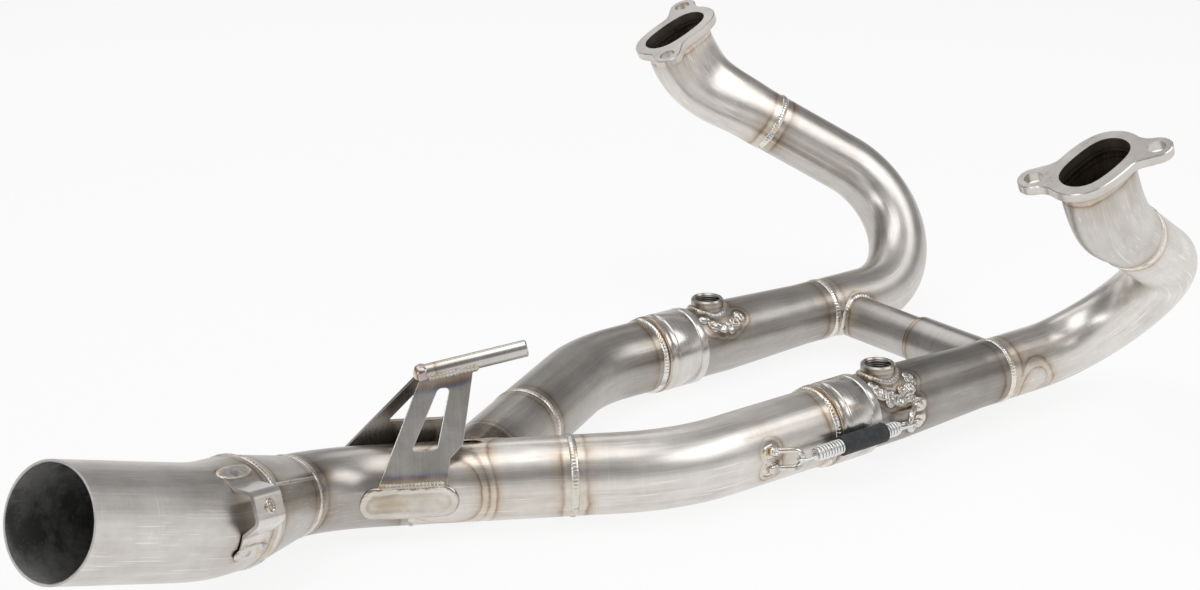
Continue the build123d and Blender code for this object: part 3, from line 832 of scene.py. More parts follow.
def saddle_bead(bm, foot, outward, radius, run_point, run_axis, run_radius, boost=1.0):
    """A weld bead where a branch stands on a run."""
    look = bpy.context.scene.header_welds
    leg, rise = SADDLE_LEG, SADDLE_RISE
    profile = [(rise * cos(step * pi / 12), radius + leg * sin(step * pi / 12))
               for step in range(7)]
    profile += [(-0.4 * MM, radius + leg), (-0.4 * MM, radius - 0.3 * MM),
                (rise, radius - 0.3 * MM)]
    count = round(2 * pi * radius / look.pitch)
    side = outward.orthogonal().normalized()
    other = outward.cross(side)
    for v in lathe(bm, foot, outward, profile, count * 6, closed=True):
        place = v.co - foot
        lift = place.dot(outward)
        across = place - outward * lift
        angle = atan2(across.dot(other), across.dot(side))
        v.co += outward * to_run(foot + across, outward, run_point, run_axis, run_radius)
        gap = v.co - run_point
        out = gap - run_axis * gap.dot(run_axis)
        if out.length > run_radius + rise:
            v.co -= out.normalized() * (out.length - run_radius - rise)
        if lift > 0 and across.length > radius:
            share = (across.length - radius) / leg
            dome = 4 * max(0.0, share * (1 - share)) * 0.7 + 0.3 * (share < 0.99)
            direction = (outward + across.normalized()).normalized()
            v.co += direction * dome * boost * (look.ripple * ripple(angle * count)
                                                + look.lumps * lump(v.co))


def dab(bm, seat, normal, way, length, width, height, tube, tube_axis, tube_radius, boost=1.0):
    """One dab of weld on a tube: a ridged, uneven pad whose underside lies on the tube."""
    look = bpy.context.scene.header_welds
    way = (way - normal * way.dot(normal)).normalized()
    count = max(6, round(length / look.pitch) * 6)
    profile = [(-length / 2 * cos(pi * step / count), width / 2 * sin(pi * step / count) ** 0.8)
               for step in range(count + 1)]
    profile[0], profile[-1] = (-length / 2, 0.0), (length / 2, 0.0)
    for v in lathe(bm, seat, way, profile, 28):
        place = v.co - seat
        out = place.dot(normal)
        along = place.dot(way)
        across = place.dot(way.cross(normal)) / (width / 2)
        v.co += normal * out * (height / (width / 2) - 1)
        share = max(0.0, 1 - (2 * along / length) ** 2) * max(0.0, out / (width / 2))
        inner = max(0.0, 1 - (2 * along / length) ** 2 - across * across)
        wave = ripple(2 * pi * along / look.pitch + 1.5 * across * across)
        v.co += normal * boost * (look.ripple * 1.6 * wave * share
                                  + look.lumps * 3.0 * lump(v.co, 2.4 * MM) * share ** 0.5)
        if out > 0:
            v.co -= normal * height * 0.42 * inner ** 2
        gap = v.co - tube
        axial = gap - tube_axis * gap.dot(tube_axis)
        if axial.length < tube_radius - 0.3 * MM:
            v.co += axial.normalized() * (tube_radius - 0.3 * MM - axial.length)


def strip_bead(bm, start, end, normal, width, height, boost=1.0):
    """A straight weld bead, half sunk in what it joins."""
    look = bpy.context.scene.header_welds
    axis = (end - start).normalized()
    length = (end - start).length
    count = max(8, round(length / look.pitch) * 6)
    profile = []
    for step in range(count + 1):
        x = length * step / count
        ends = min(1.0, x / (width / 2), (length - x) / (width / 2))
        profile.append((x, width / 2 * sqrt(max(0.0, 1 - (1 - ends) ** 2))))
    for v in lathe(bm, start, axis, profile, 16):
        place = v.co - start
        out = place - axis * place.dot(axis)
        if out.length < 1e-6:
            continue
        flat = out.dot(normal)
        v.co += normal * flat * (2 * height / width - 1)
        wave = ripple(2 * pi * place.dot(axis) / look.pitch + 0.5 * (out.length / width) ** 2)
        v.co += out.normalized() * boost * (look.ripple * wave + look.lumps * lump(v.co))


def rimmed_pad(bm, seat, normal, way, length, width, tube_radius):
    """A long oval pad wrapped on a tube, with a raised rim round a shallow field."""
    look = bpy.context.scene.header_welds
    half, core = width / 2, (length - width) / 2
    count = 90
    profile = []
    for step in range(count + 1):
        x = -length / 2 * cos(pi * step / count)
        profile.append((x, sqrt(max(0.0, half ** 2 - max(0.0, abs(x) - core) ** 2))))
    profile[0], profile[-1] = (-length / 2, 0.0), (length / 2, 0.0)
    side = way.cross(normal)
    axis_point = seat - normal * tube_radius
    for v in lathe(bm, seat, way, profile, 72):
        place = v.co - seat
        along, across = place.dot(way), place.dot(side)
        edge = half - Vector((max(0.0, abs(along) - core), across)).length
        rise = -0.3 * MM
        if place.dot(normal) > 1e-6:
            shoulder = min(1.0, max(0.0, edge) / PAD_SHOULDER)
            field = min(1.0, max(0.0, (edge - PAD_RIM) / PAD_SHOULDER))
            field = field * field * (3 - 2 * field)
            rise = PAD_RISE * sqrt(1 - (1 - shoulder) ** 2) - PAD_DISH * field
            rise += look.lumps * shoulder * (1.5 * lump(v.co, 5 * MM)
                                             + 1.2 * (1 - field) * lump(v.co, 2.2 * MM))
        turn = across / tube_radius
        radial = normal * cos(turn) + side * sin(turn)
        v.co = axis_point + way * along + radial * (tube_radius + rise)


def cut_sheet(bm, origin, along, up, outline, window, corner, thickness):
    """A flat sheet with one window whose corners are rounded, cut out and given its thickness."""
    loops = []
    for points in (outline, window):
        verts = [bm.verts.new(origin + along * s * MM + up * t * MM) for s, t in points]
        for pair in zip(verts, verts[1:] + verts[:1]):
            bm.edges.new(pair)
        loops.append(verts)
    bmesh.ops.bevel(bm, geom=loops[1], offset=corner, offset_type="OFFSET", segments=5,
                    profile=0.5, affect="VERTICES", material=-1)
    bmesh.ops.triangle_fill(bm, use_beauty=True, use_dissolve=False, edges=list(bm.edges))
    grown = bmesh.ops.extrude_face_region(bm, geom=list(bm.faces))["geom"]
    bmesh.ops.translate(bm, verts=[g for g in grown if isinstance(g, bmesh.types.BMVert)],
                        vec=thickness)
    rims = [edge for edge in bm.edges
            if len(edge.link_faces) == 2 and edge.calc_face_angle() > radians(50)]
    bmesh.ops.bevel(bm, geom=rims, offset=0.3 * MM, offset_type="OFFSET", segments=2,
                    profile=0.5, affect="EDGES", material=-1)


def piece(name, bm, made, slot, *nodes, sharp=None):
    """Turns a finished bmesh into a piece that rides on the header."""
    bmesh.ops.recalc_face_normals(bm, faces=bm.faces)
    for face in bm.faces:
        face.smooth = True
    mesh = bpy.data.meshes.new(name)
    bm.to_mesh(mesh)
    bm.free()
    if sharp:
        mesh.set_sharp_from_angle(angle=radians(sharp))
    mesh.materials.append(made)
    thing = bpy.data.objects.new(name, mesh)
    bpy.context.scene.collection.objects.link(thing)
    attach(thing, "root")
    if nodes:
        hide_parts(*nodes)
    return thing


# ---------------------------------------------------------------- operators

def blob_places(side):
    """The weld dabs beside a sensor boss: seat, way out, length, width and height."""
    for reach, turn, twist, length, width, height in BOSS_DABS[side.hand]:
        out = UP * cos(radians(turn)) - Vector((0, 1, 0)) * sin(radians(turn))
        way = side.run * cos(radians(twist)) + side.run.cross(out) * sin(radians(twist))
        yield (side.boss_foot + side.run * reach * MM + out * (LEG_R - 0.2 * MM), out, way,
               length * MM, width * MM, height * MM)


def anchor_feet(name, place):
    crest, root, radial = ANCHORS[name, place]
    for sign in (-1, 1):
        out = (radial * LEG_R + UP * ANCHOR_SPAN * sign).normalized()
        yield sign, root + out * (LEG_R - 0.2 * MM), out


class HEADER_OT_pipes(bpy.types.Operator):
    """Give every tube its brushed steel, with heat tint beside each weld"""
    bl_idname = "header.pipes"
    bl_label = "Pipes"

    def execute(self, context):
        rear_ring = ring_heat(cone_rear, rearward, OUTLET_R)
        front_ring = ring_heat(cone_front, rearward, LEG_R)
        collector_ring = ring_heat(collector_start, leg_axis, LEG_R)
        branch_heat = saddle_heat(merge_point, left_leg_axis, LEG_R, merge_point, 40 * MM,
                                  8 * MM)
        # The number after each heat list is the tube's brightness: partly its own tone and heat
        # colour, partly painted light and shade, lit tubes lighter and shaded ones darker.
        dress_tube("outlet_pipe", Bend(cone_rear, OUTLET_BEND, MOUTH, OUTLET_BEND_RADIUS),
                   [rear_ring, *strap_foot_heat(3 * MM, 6 * MM)], 1.12,
                   bore=OUTLET_R - OUTLET_WALL / 2)
        dress_tube("outlet_cone", Line(cone_front, cone_rear), [rear_ring, front_ring], 0.96)
        dress_tube("collector_bend",
                   Bend(collector_start, MERGE_BEND, cone_front, MERGE_BEND_RADIUS),
                   [collector_ring, front_ring], 0.86)
        dress_tube("merge_tube", Line(collector_start, right_leg_end),
                   [ring_heat(right_leg_end, leg_axis, LEG_R), branch_heat], 1.3)
        dress_tube("merge_branch", Line(merge_point, left_leg_end),
                   [ring_heat(left_leg_end, left_leg_axis, LEG_R), branch_heat], 0.92)
        dress("crossover_sleeve", turned_steel(
            "crossover_sleeve_steel", Line(SIDES["right"].crossing, SIDES["left"].crossing),
            [ring_heat(Vector((CROSSOVER_X, y, CROSSOVER_Z)), Vector((0, 1, 0)), CROSSOVER_R,
                       6 * MM) for y in (SLEEVE_FROM, SLEEVE_TO)], tone_and_painted_light=0.86, rough=0.30))
        for name, side in SIDES.items():
            start_axis = leg_axis if name == "right" else left_leg_axis
            boss_heat_and_shade = [spot_heat(side.boss_foot + UP * LEG_R, BOSS_R, 10 * MM)]
            # Painted shade: spots as wide as the dabs put the tint's darkest stop at their edges,
            # a dark line where each dab meets the tube, with heat tint beyond.
            boss_heat_and_shade += [spot_heat(seat, 5.8 * MM, 6 * MM) for seat, *_ in blob_places(side)]
            # Painted shade likewise round the anchor feet's dabs, with heat tint beyond.
            feet = {place: [spot_heat(seat, 6.2 * MM, 6 * MM)
                            for _, seat, _ in anchor_feet(name, place)]
                    for place in ("rear", "front")}
            seam_heat = ring_heat(side.front_seam, side.run, PRIMARY_R, 17 * MM)
            stub_heat = ring_heat(side.stub_start, side.downpipe, PRIMARY_R)
            is_right = name == "right"
            dress_tube(f"{name}_leg_bend",
                       Bend(side.leg_end, side.leg_corner, side.slip, side.leg_radius),
                       [ring_heat(side.leg_end, start_axis, LEG_R),
                        ring_heat(side.socket_bead, side.run, LEG_R, 13 * MM), *feet["rear"]],
                       1.3 if is_right else 0.76)
            dress_tube(f"{name}_taper_pipe", Line(side.slip, side.front_seam),
                       [seam_heat, *boss_heat_and_shade, *feet["front"]], 0.66 if is_right else 0.78)
            dress_tube(f"{name}_front_bend",
                       Bend(side.front_seam, side.front_corner, side.stub_start,
                            FRONT_BEND_RADIUS),
                       [seam_heat, stub_heat,
                        saddle_heat(side.crossing, Vector((0, 1, 0)), CROSSOVER_R,
                                    side.crossing, 23 * MM, 7 * MM)],
                       1.28 if is_right else 1.05)
            port_end = side.port - side.normal * FLANGE_DEPTH
            dress_tube(f"{name}_port_stub",
                       Bend(side.stub_start, side.port_corner, port_end, PORT_BEND_RADIUS),
                       [stub_heat, lambda graph, at=port_end, way=side.normal: abs(
                           graph.along(at, way)).most(graph.away(at) - 34 * MM) / (9 * MM)],
                       1.12 if is_right else 1.3)
            dress_tube(f"{name}_crossover_stub",
                       Line(side.crossing, side.crossing - side.outward * 80 * MM),
                       [saddle_heat(side.crossing, side.run, PRIMARY_R, side.crossing,
                                    28 * MM, 8 * MM)], 0.86)
        return {"FINISHED"}


class HEADER_OT_ring_welds(bpy.types.Operator):
    """Lay the rippled beads round the tubes' seams"""
    bl_idname = "header.ring_welds"
    bl_label = "Ring welds"

    def execute(self, context):
        bm = bmesh.new()
        width, height = BEAD_WIDTH, BEAD_HEIGHT
        ring_bead(bm, cone_rear, rearward, OUTLET_R, width, height, before=-cone_slope)
        ring_bead(bm, cone_front, rearward, LEG_R, width, height, after=cone_slope)
        for seam, axis in ((collector_start, leg_axis), (right_leg_end, leg_axis),
                           (left_leg_end, left_leg_axis)):
            ring_bead(bm, seam, axis, LEG_R, width, height)
        piece("collector_ring_beads", bm, weld_steel("collector_weld_metal"), "weld_steel",
              "collector_welds")
        for name, side in SIDES.items():
            bm = bmesh.new()
            ring_bead(bm, side.socket_bead, side.run, LEG_R, width, SOCKET_BEAD_HEIGHT,
                      boost=1.6)
            ring_bead(bm, side.front_seam, side.run, PRIMARY_R, width, height)
            ring_bead(bm, side.stub_start, side.downpipe, PRIMARY_R, width, height)
            piece(f"{name}_ring_beads", bm, weld_steel(
                f"{name}_ring_weld_metal", tone_and_painted_light=1.15, rough=0.14), "weld_steel",
                f"{name}_pipe_welds")
        return {"FINISHED"}


class HEADER_OT_saddle_welds(bpy.types.Operator):
    """Lay the beads where the branch, the crossover and the bosses stand on the runs"""
    bl_idname = "header.saddle_welds"
    bl_label = "Saddle welds"

    def execute(self, context):
        bm = bmesh.new()
        saddle_bead(bm, merge_point, left_leg_axis, LEG_R, collector_start, leg_axis, LEG_R)
        piece("merge_saddle_bead", bm, weld_steel("merge_weld_metal"), "weld_steel",
              "merge_weld")
        for name, side in SIDES.items():
            bm = bmesh.new()
            saddle_bead(bm, side.boss_foot, UP, BOSS_R, side.slip, side.run, LEG_R, boost=1.5)
            piece(f"{name}_boss_bead", bm, weld_steel(
                f"{name}_boss_weld_metal", [ring_heat(
                    side.boss_foot + UP * (LEG_R + 1.5 * MM), UP, BOSS_R, 5 * MM)]),
                "weld_steel", f"{name}_boss_weld")
            bm = bmesh.new()
            saddle_bead(bm, side.crossing, -side.outward, CROSSOVER_R, side.front_seam,
                        (side.front_corner - side.front_seam).normalized(), PRIMARY_R)
            piece(f"{name}_crossover_bead", bm, weld_steel(f"{name}_crossover_weld_metal"),
                  "weld_steel", f"{name}_crossover_weld")
        return {"FINISHED"}


class HEADER_OT_bosses(bpy.types.Operator):
    """Turn the sensor bosses, cut their threads and lay the weld dabs beside them"""
    bl_idname = "header.bosses"
    bl_label = "Sensor bosses"

    def execute(self, context):
        for name, side in SIDES.items():
            line = Line(side.boss_foot, side.boss_foot + UP)
            made = turned_steel(f"{name}_boss_steel", line, [
                ring_heat(side.boss_foot + UP * (LEG_R + 1 * MM), UP, BOSS_R, 6 * MM)],
                tone_and_painted_light=0.86, rough=0.27)
            dress(f"{name}_sensor_boss", made)
            bm = bmesh.new()
            top = side.boss_foot + UP * (BOSS_HEIGHT - 1.8 * MM)
            points = [bm.verts.new(top + Vector((BOSS_BORE_R + out, 0, rise))) for out, rise in (
                (0.1 * MM, 0.72 * MM), (0.1 * MM, -0.72 * MM), (-THREAD_DEPTH, 0.0))]
            bmesh.ops.contextual_create(bm, geom=points)
            edges = list(bm.edges)
            last = bmesh.ops.spin(bm, geom=points + edges, cent=top, axis=UP,
                                  dvec=UP * (-THREAD_PITCH / THREAD_STEPS),
                                  angle=2 * pi * THREAD_TURNS,
                                  steps=round(THREAD_TURNS * THREAD_STEPS))["geom_last"]
            bmesh.ops.edgeloop_fill(
                bm, edges=[g for g in last if isinstance(g, bmesh.types.BMEdge)])
            # Painted shade: the thread's steel is made very dark, for the shade inside the boss's
            # bore.
            piece(f"{name}_boss_thread", bm, turned_steel(
                f"{name}_thread_steel", line, tone_and_painted_light=0.34, rough=0.3), "machined_steel", sharp=35)
            bm = bmesh.new()
            for seat, out, way, length, width, height in blob_places(side):
                dab(bm, seat, out, way, length, width, height, side.slip, side.run, LEG_R,
                    boost=1.3)
            piece(f"{name}_boss_dabs", bm, weld_steel(
                f"{name}_dab_weld_metal", tone_and_painted_light=0.84, rough=0.12), "weld_steel",
                f"{name}_boss_beads")
        return {"FINISHED"}


class HEADER_OT_sockets(bpy.types.Operator):
    """Turn the slip sockets, with their ridge, groove and bright front lip"""
    bl_idname = "header.sockets"
    bl_label = "Slip sockets"

    def execute(self, context):
        for name, side in SIDES.items():
            outer = LEG_R + SOCKET_WALL
            bm = bmesh.new()
            lathe(bm, side.slip, side.run,
                  [(x * MM, outer + (rise - 2.0) * MM) for x, rise in SOCKET_PROFILE], 128,
                  closed=True)
            line = Line(side.slip, side.slip + side.run)
            piece(f"{name}_socket_sleeve", bm, turned_steel(
                f"{name}_socket_steel", line,
                [ring_heat(side.socket_bead, side.run, LEG_R, 6 * MM)], tone_and_painted_light=1.26,
                rough=0.25), "machined_steel", f"{name}_slip_socket", sharp=50)
        return {"FINISHED"}


class HEADER_OT_springs(bpy.types.Operator):
    """Wind the two springs with their hooks, and pull the rubber sleeves over them"""
    bl_idname = "header.springs"
    bl_label = "Springs"

    def execute(self, context):
        look = context.scene.header_springs
        for name, side in SIDES.items():
            bm = bmesh.new()
            wire = look.wire / 2
            mean = SPRING_R - wire
            start = side.spring_rear + side.outward * mean
            turns = (SPRING_LENGTH - look.wire) / look.pitch
            steps = 20
            coil = Wire(bm, start + side.run * wire, UP * side.hand, wire, 9)
            coil.turn(side.spring_rear, side.run, 2 * pi * turns, round(turns * steps),
                      look.pitch / steps)
            for v in coil.end():
                place = v.co - side.spring_rear
                along = place.dot(side.run)
                out = place - side.run * along
                nearest = min(along, SPRING_LENGTH - along)
                share = min(1.0, max(0.0, nearest / SPRING_TAPER))
                v.co -= out.normalized() * (SPRING_R - SPRING_NECK_R) * (1 - share) ** 1.4
            hook_r = LOOP_WIRE_R + wire
            for end, away in ((side.spring_rear, -side.run), (side.spring_front, side.run)):
                crest = end + away * HOOK_REACH
                hook = Wire(bm, end - away * 2 * MM + side.outward * hook_r, away, wire)
                hook.pull(away * (HOOK_REACH + 2 * MM), 4)
                hook.turn(crest, side.outward.cross(away), pi, 12)
                hook.pull(-away * HOOK_TAIL, 2).end()
            piece(f"{name}_spring_coil", bm, spring_steel(f"{name}_spring_wire"),
                  "spring_steel", f"{name}_spring")
            bm = bmesh.new()
            outer, inner = SPRING_R + 1.4 * MM, SPRING_R
            begin, stop = SLEEVE_START, SLEEVE_START + SLEEVE_LENGTH
            profile = [(begin, inner), (begin, outer - 0.6 * MM),
                       (begin + 0.2 * MM, outer - 0.2 * MM), (begin + 0.7 * MM, outer)]
            profile += [(begin + SLEEVE_LENGTH * share / 12,
                         outer - 0.10 * MM * (share % 2)) for share in range(1, 12)]
            profile += [(stop - 0.7 * MM, outer), (stop - 0.2 * MM, outer - 0.2 * MM),
                        (stop, outer - 0.6 * MM), (stop, inner)]
            lathe(bm, side.spring_rear, side.run, profile, 48, closed=True)
            line = Line(side.spring_rear, side.spring_front)
            piece(f"{name}_spring_rubber", bm, rubber(f"{name}_sleeve_rubber", line),
                  "spring_rubber", f"{name}_spring_sleeve", sharp=50)
        return {"FINISHED"}


class HEADER_OT_anchors(bpy.types.Operator):
    """Bend the wire loops that hold the springs, and weld their feet to the tubes"""
    bl_idname = "header.anchors"
    bl_label = "Spring anchors"

    def execute(self, context):
        for (name, place), (crest, root, radial) in ANCHORS.items():
            side = SIDES[name]
            bm = bmesh.new()
            span = UP * ANCHOR_SPAN
            foot = root + radial * (LEG_R - ANCHOR_WIRE_R)
            way = (crest - foot).normalized()
            peak = crest - way * ANCHOR_SPAN
            loop = Wire(bm, foot + span, way, LOOP_WIRE_R, 14)
            loop.pull(peak - foot, 5)
            loop.turn(peak, UP.cross(way), pi, 16)
            loop.pull(foot - peak, 5).end()
            tube_axis = side.run if place == "front" or name == "right" else radial.cross(UP)
            for sign, seat, out in anchor_feet(name, place):
                dab(bm, seat - way * 1.5 * MM, out, way + UP * sign * 0.25, 13 * MM, 9.5 * MM,
                    2.1 * MM, root, tube_axis, LEG_R)
                dab(bm, seat + way * 1.5 * MM + out * 0.9 * MM, out, way, 8.5 * MM, 6 * MM,
                    2.4 * MM, root, tube_axis, LEG_R, boost=1.3)
            piece(f"{name}_{place}_anchor_loop", bm, weld_steel(
                f"{name}_{place}_anchor_metal", tone_and_painted_light=1.05, rough=0.12), "spring_steel",
                f"{name}_{place}_anchor")
        return {"FINISHED"}


class HEADER_OT_hanger(bpy.types.Operator):
    """Finish the hanger and weld its pin along the tops of its legs"""
    bl_idname = "header.hanger"
    bl_label = "Hanger"

    def execute(self, context):
        pin_front = pin_back + pin_axis * PIN_LENGTH
        dress("hanger_pin", turned_steel(
            "hanger_pin_steel", Line(pin_back, pin_front),
            [spot_heat(pin_back, 7 * MM, 12 * MM)], tone_and_painted_light=1.05, rough=0.22))
        for name, hand in (("right", -1), ("left", 1)):
            outward = UP.cross(leg_axis) * hand
            pad_out = outward * cos(PAD_LEAN) + UP * sin(PAD_LEAN)
            pad = hanger_seat + leg_axis * PAD_CENTRE + pad_out * LEG_R
            lean_up = UP * cos(HANGER_LEAN) - outward * sin(HANGER_LEAN)
            foot_line = hanger_seat + outward * HANGER_ACROSS + UP * HANGER_FOOT
            seam_out = outward * cos(radians(20)) + UP * sin(radians(20))
            seam = hanger_seat + leg_axis * 9 * MM + seam_out * (LEG_R + PAD_RISE - 0.9 * MM)
            pad_side = leg_axis.cross(pad_out)
            top = (PIN_TOP - HANGER_FOOT) / cos(HANGER_LEAN) / MM
            pin_weld = saddle_heat(pin_back, pin_axis, PIN_R, pin_back + pin_axis * 14 * MM,
                                   24 * MM, 10 * MM)
            foot_weld = saddle_heat(seam, leg_axis, 0, seam, 20 * MM, 9 * MM)
            rear, window = HANGER_CUTS[name]
            bm = bmesh.new()
            cut_sheet(bm, foot_line, leg_axis, lean_up,
                      ((rear, -3), (29, -3), (31.5, 12.8), (39.2, 20.6), (47, top), (18, top)),
                      window, 2.2 * MM, leg_axis.cross(lean_up) * (-HANGER_SHEET * hand))
            # The right sheet keeps the steel's brightness; the left one is made much darker,
            # partly heat colour and partly painted shade.
            piece(f"{name}_hanger_sheet", bm, sheet_steel(
                f"{name}_hanger_leg_steel", Line(foot_line, foot_line + lean_up),
                [pin_weld, foot_weld], tone_and_painted_light=1.0 if name == "right" else 0.6), "sheet_steel",
                f"{name}_hanger_leg", sharp=20)
            bm = bmesh.new()
            rimmed_pad(bm, pad, pad_out, leg_axis, PAD_LENGTH, PAD_WIDTH, LEG_R)
            piece(f"{name}_hanger_pad", bm, sheet_steel(
                f"{name}_hanger_pad_steel", Line(hanger_seat, hanger_seat + leg_axis),
                [pad_heat_and_light(pad, pad_side)], stops=PAD_TINT_HIGHLIGHT_AND_SHADE, tone_and_painted_light=1.2, rough=0.17),
                "sheet_steel", f"{name}_hanger_foot")
            bm = bmesh.new()
            strip_bead(bm, seam - leg_axis * 19 * MM, seam + leg_axis * 19 * MM, seam_out,
                       3.6 * MM, 1.2 * MM, boost=1.6)
            piece(f"{name}_foot_bead", bm, weld_steel(
                f"{name}_foot_weld_metal", [foot_weld], tone_and_painted_light=0.85, rough=0.2), "weld_steel")
            bm = bmesh.new()
            down = (outward * 0.80 - UP * 0.60).normalized()
            start = pin_back + pin_axis * 7 * MM + down * (PIN_R - 0.2 * MM)
            strip_bead(bm, start, start + pin_axis * 30 * MM, down, 4.6 * MM, 1.5 * MM,
                       boost=2.2)
            piece(f"{name}_pin_bead", bm, weld_steel(
                f"{name}_pin_weld_metal", tone_and_painted_light=0.8, rough=0.24), "weld_steel")
        bm = bmesh.new()
        profile = [(x * MM, r * MM) for x, r in PIN_END_PROFILE]
        for v in lathe(bm, pin_back, pin_axis, profile, 48):
            v.co += (v.co - pin_back) * 0.14 * lump(v.co, 3 * MM)
        piece("pin_end_weld", bm, weld_steel(
            "pin_end_metal", [spot_heat(pin_back, 1 * MM, 11 * MM)], tone_and_painted_light=1.1, rough=0.16),
            "weld_steel")
        return {"FINISHED"}


class HEADER_OT_strap(bpy.types.Operator):
    """Finish the strap bracket, weld its feet down and set its plug weld"""
    bl_idname = "header.strap"
    bl_label = "Strap bracket"

    def execute(self, context):
        across = rearward.cross(strap_out)
        dress("strap_bracket", sheet_steel(
            "strap_steel", Line(strap_middle, strap_middle + rearward),
            strap_foot_heat(2 * MM, 4.5 * MM), stops=WELD_TINT_AND_SHADE, tone_and_painted_light=1.16, rough=0.22))
        bm = bmesh.new()
        for sign in (-1, 1):
            turn = STRAP_FOOT_TO + radians(1.5)
            out = strap_out * cos(turn) + across * sign * sin(turn)
            dab(bm, strap_middle + out * (OUTLET_R + 0.2 * MM), out, rearward,
                STRAP_WIDTH + 5 * MM, 10 * MM, 1.9 * MM, cone_rear, rearward, OUTLET_R,
                boost=0.45)
        piece("strap_foot_welds", bm, weld_steel("strap_weld_metal", tone_and_painted_light=0.95, rough=0.28),
              "weld_steel")
        bm = bmesh.new()
        seat = strap_middle + strap_out * (OUTLET_R + STRAP_TOP)
        for v in lathe(bm, seat, strap_out, [(x * MM, r * MM) for x, r in PLUG_PROFILE], 40):
            v.co += strap_out * 0.6 * MM * lump(v.co, 1.7 * MM)
        piece("strap_plug_weld", bm, weld_steel(
            "strap_plug_metal", [spot_heat(seat, 3.6 * MM, 3 * MM)], stops=WELD_TINT_AND_SHADE, rough=0.12),
            "weld_steel", "strap_rivet")
        bm = bmesh.new()
        line_out = strap_side * cos(radians(38)) + strap_up * sin(radians(38))
        strip_bead(bm, cone_front + rearward * 3 * MM + line_out * (LEG_R + 0.2 * MM),
                   cone_rear - rearward * 3 * MM + line_out * (OUTLET_R - 0.6 * MM), line_out,
                   2.2 * MM, 0.5 * MM, boost=0.3)
        piece("cone_seam", bm, weld_steel("cone_seam_metal"), "weld_steel")
        return {"FINISHED"}


class HEADER_OT_flanges(bpy.types.Operator):
    """Brush the port flanges"""
    bl_idname = "header.flanges"
    bl_label = "Port flanges"

    def execute(self, context):
        for name, side in SIDES.items():
            collar = side.port - side.normal * FLANGE_DEPTH
            dress(f"{name}_port_flange", sheet_steel(
                f"{name}_flange_steel", Line(side.port, side.port + side.slot_axis),
                [lambda graph, at=collar, way=side.normal: abs(
                    graph.along(at, way)) / (4.5 * MM)], stops=WELD_TINT_AND_SHADE, tone_and_painted_light=1.16, rough=0.30))
        return {"FINISHED"}


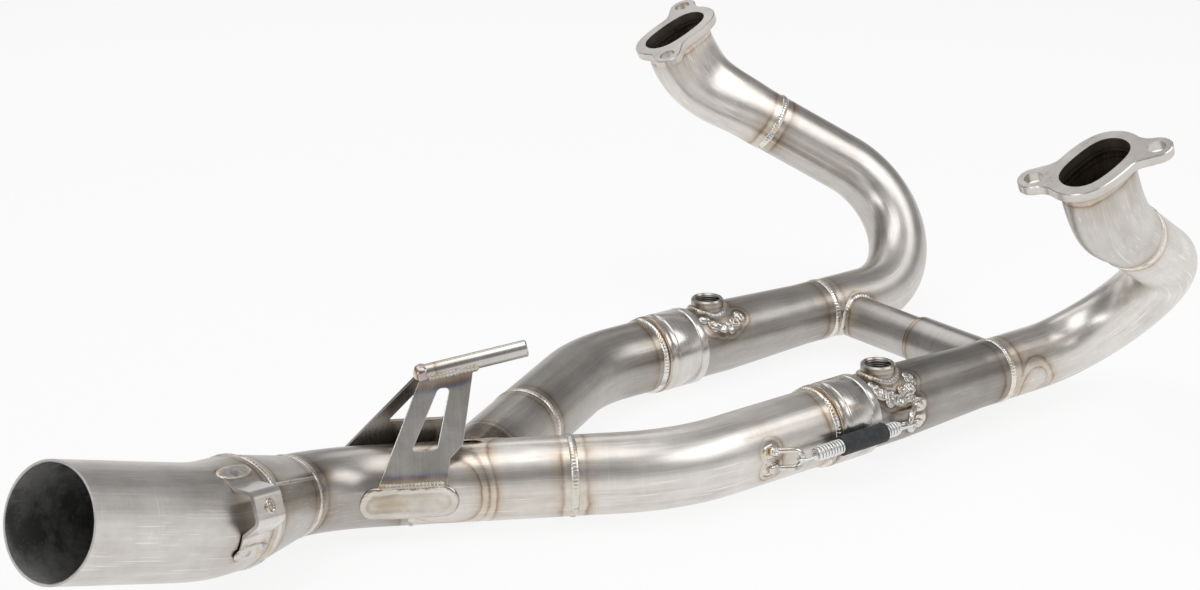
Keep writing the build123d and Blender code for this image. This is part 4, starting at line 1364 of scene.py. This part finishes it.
class HEADER_OT_stage(bpy.types.Operator):
    """Set up the pale floor, the soft light and the camera"""
    bl_idname = "header.stage"
    bl_label = "Stage"

    def execute(self, context):
        look = context.scene.header_stage
        scene = context.scene
        scene.view_settings.view_transform = "Standard"

        bm = bmesh.new()
        bmesh.ops.create_grid(bm, x_segments=8, y_segments=8, size=FLOOR_SIZE,
                              matrix=Matrix.Translation((0.3, 0.1, FLOOR_Z)))
        mesh = bpy.data.meshes.new("floor")
        bm.to_mesh(mesh)
        bm.free()
        floor = bpy.data.objects.new("floor", mesh)
        scene.collection.objects.link(floor)
        made, graph = material("floor_paper")
        ray = graph.add("ShaderNodeLightPath", output="Is Camera Ray")
        glossy = graph.add("ShaderNodeLightPath", output="Is Glossy Ray")
        fibre = graph.speckle((60, 60, 60), 3) * 0.02
        matt = graph.add("ShaderNodeBsdfDiffuse", sockets={
            "Color": graph.mix((*look.floor_colour, 1), (0.95, 0.95, 0.95, 1), fibre)})
        glow = graph.add("ShaderNodeEmission", sockets={"Color": (1, 1, 1, 1), "Strength": 1})
        paper = graph.add("ShaderNodeMixShader", sockets=(
            (ray + glossy).least(1) * 0.86, matt, glow))
        graph.add("ShaderNodeOutputMaterial", sockets={"Surface": paper})
        floor.data.materials.append(made)

        world = bpy.data.worlds.new("studio")
        world.use_nodes = True
        graph = Graph(world.node_tree)
        up = graph.add("ShaderNodeSeparateXYZ", sockets=(
            graph.add("ShaderNodeTexCoord", output="Generated"),), output="Z")
        room = graph.add("ShaderNodeValToRGB", {"stops": ROOM}, (up.most(0),))
        lit = graph.add("ShaderNodeBackground", sockets={
            "Color": room, "Strength": look.surround})
        seen = graph.add("ShaderNodeBackground", sockets={
            "Color": (1, 1, 1, 1), "Strength": 1})
        sky = graph.add("ShaderNodeMixShader", sockets=(
            graph.add("ShaderNodeLightPath", output="Is Camera Ray"), lit, seen))
        graph.add("ShaderNodeOutputWorld", sockets={"Surface": sky})
        scene.world = world

        for name, place, size, share in LAMPS:
            data = bpy.data.lights.new(name, "AREA")
            data.shape = "RECTANGLE"
            data.size, data.size_y = size
            data.energy = look.key_power * share
            lamp = bpy.data.objects.new(name, data)
            lamp.location = place
            lamp.rotation_mode = "QUATERNION"
            lamp.rotation_quaternion = (LAMPS_AIM - Vector(place)).to_track_quat("-Z", "Y")
            scene.collection.objects.link(lamp)

        data = bpy.data.cameras.new("camera")
        data.lens = look.lens
        data.sensor_width = 36
        camera = bpy.data.objects.new("camera", data)
        camera.location = CAMERA_PLACE
        camera.rotation_mode = "QUATERNION"
        camera.rotation_quaternion = CAMERA_WAY.to_track_quat("-Z", "Y")
        data.clip_start, data.clip_end = 0.01, 50
        scene.collection.objects.link(camera)
        scene.camera = camera
        return {"FINISHED"}


class HEADER_PT_panel(bpy.types.Panel):
    """The header's pieces and finishes"""
    bl_idname = "HEADER_PT_panel"
    bl_label = "Exhaust header"
    bl_space_type = "VIEW_3D"
    bl_region_type = "UI"
    bl_category = "Header"

    def draw(self, context):
        for group in (context.scene.header_steel, context.scene.header_welds,
                      context.scene.header_springs, context.scene.header_stage):
            box = self.layout.box()
            for key in group.__annotations__:
                box.prop(group, key)
        for operator in OPERATORS:
            self.layout.operator(operator.bl_idname)


GROUPS = {"header_steel": HeaderSteel, "header_welds": HeaderWelds,
          "header_springs": HeaderSprings, "header_stage": HeaderStage}
OPERATORS = (
    HEADER_OT_pipes, HEADER_OT_ring_welds, HEADER_OT_saddle_welds, HEADER_OT_bosses,
    HEADER_OT_sockets, HEADER_OT_springs, HEADER_OT_anchors, HEADER_OT_hanger,
    HEADER_OT_strap, HEADER_OT_flanges, HEADER_OT_stage)


def register():
    for thing in (*GROUPS.values(), *OPERATORS, HEADER_PT_panel):
        bpy.utils.register_class(thing)
    for key, group in GROUPS.items():
        setattr(bpy.types.Scene, key, PointerProperty(type=group))


def unregister():
    for key in GROUPS:
        delattr(bpy.types.Scene, key)
    for thing in reversed((*GROUPS.values(), *OPERATORS, HEADER_PT_panel)):
        bpy.utils.unregister_class(thing)


def main():
    register()
    bpy.ops.header.pipes()
    bpy.ops.header.ring_welds()
    bpy.ops.header.saddle_welds()
    bpy.ops.header.bosses()
    bpy.ops.header.sockets()
    bpy.ops.header.springs()
    bpy.ops.header.anchors()
    bpy.ops.header.hanger()
    bpy.ops.header.strap()
    bpy.ops.header.flanges()
    bpy.ops.header.stage()


if __name__ == "__main__":
    main()
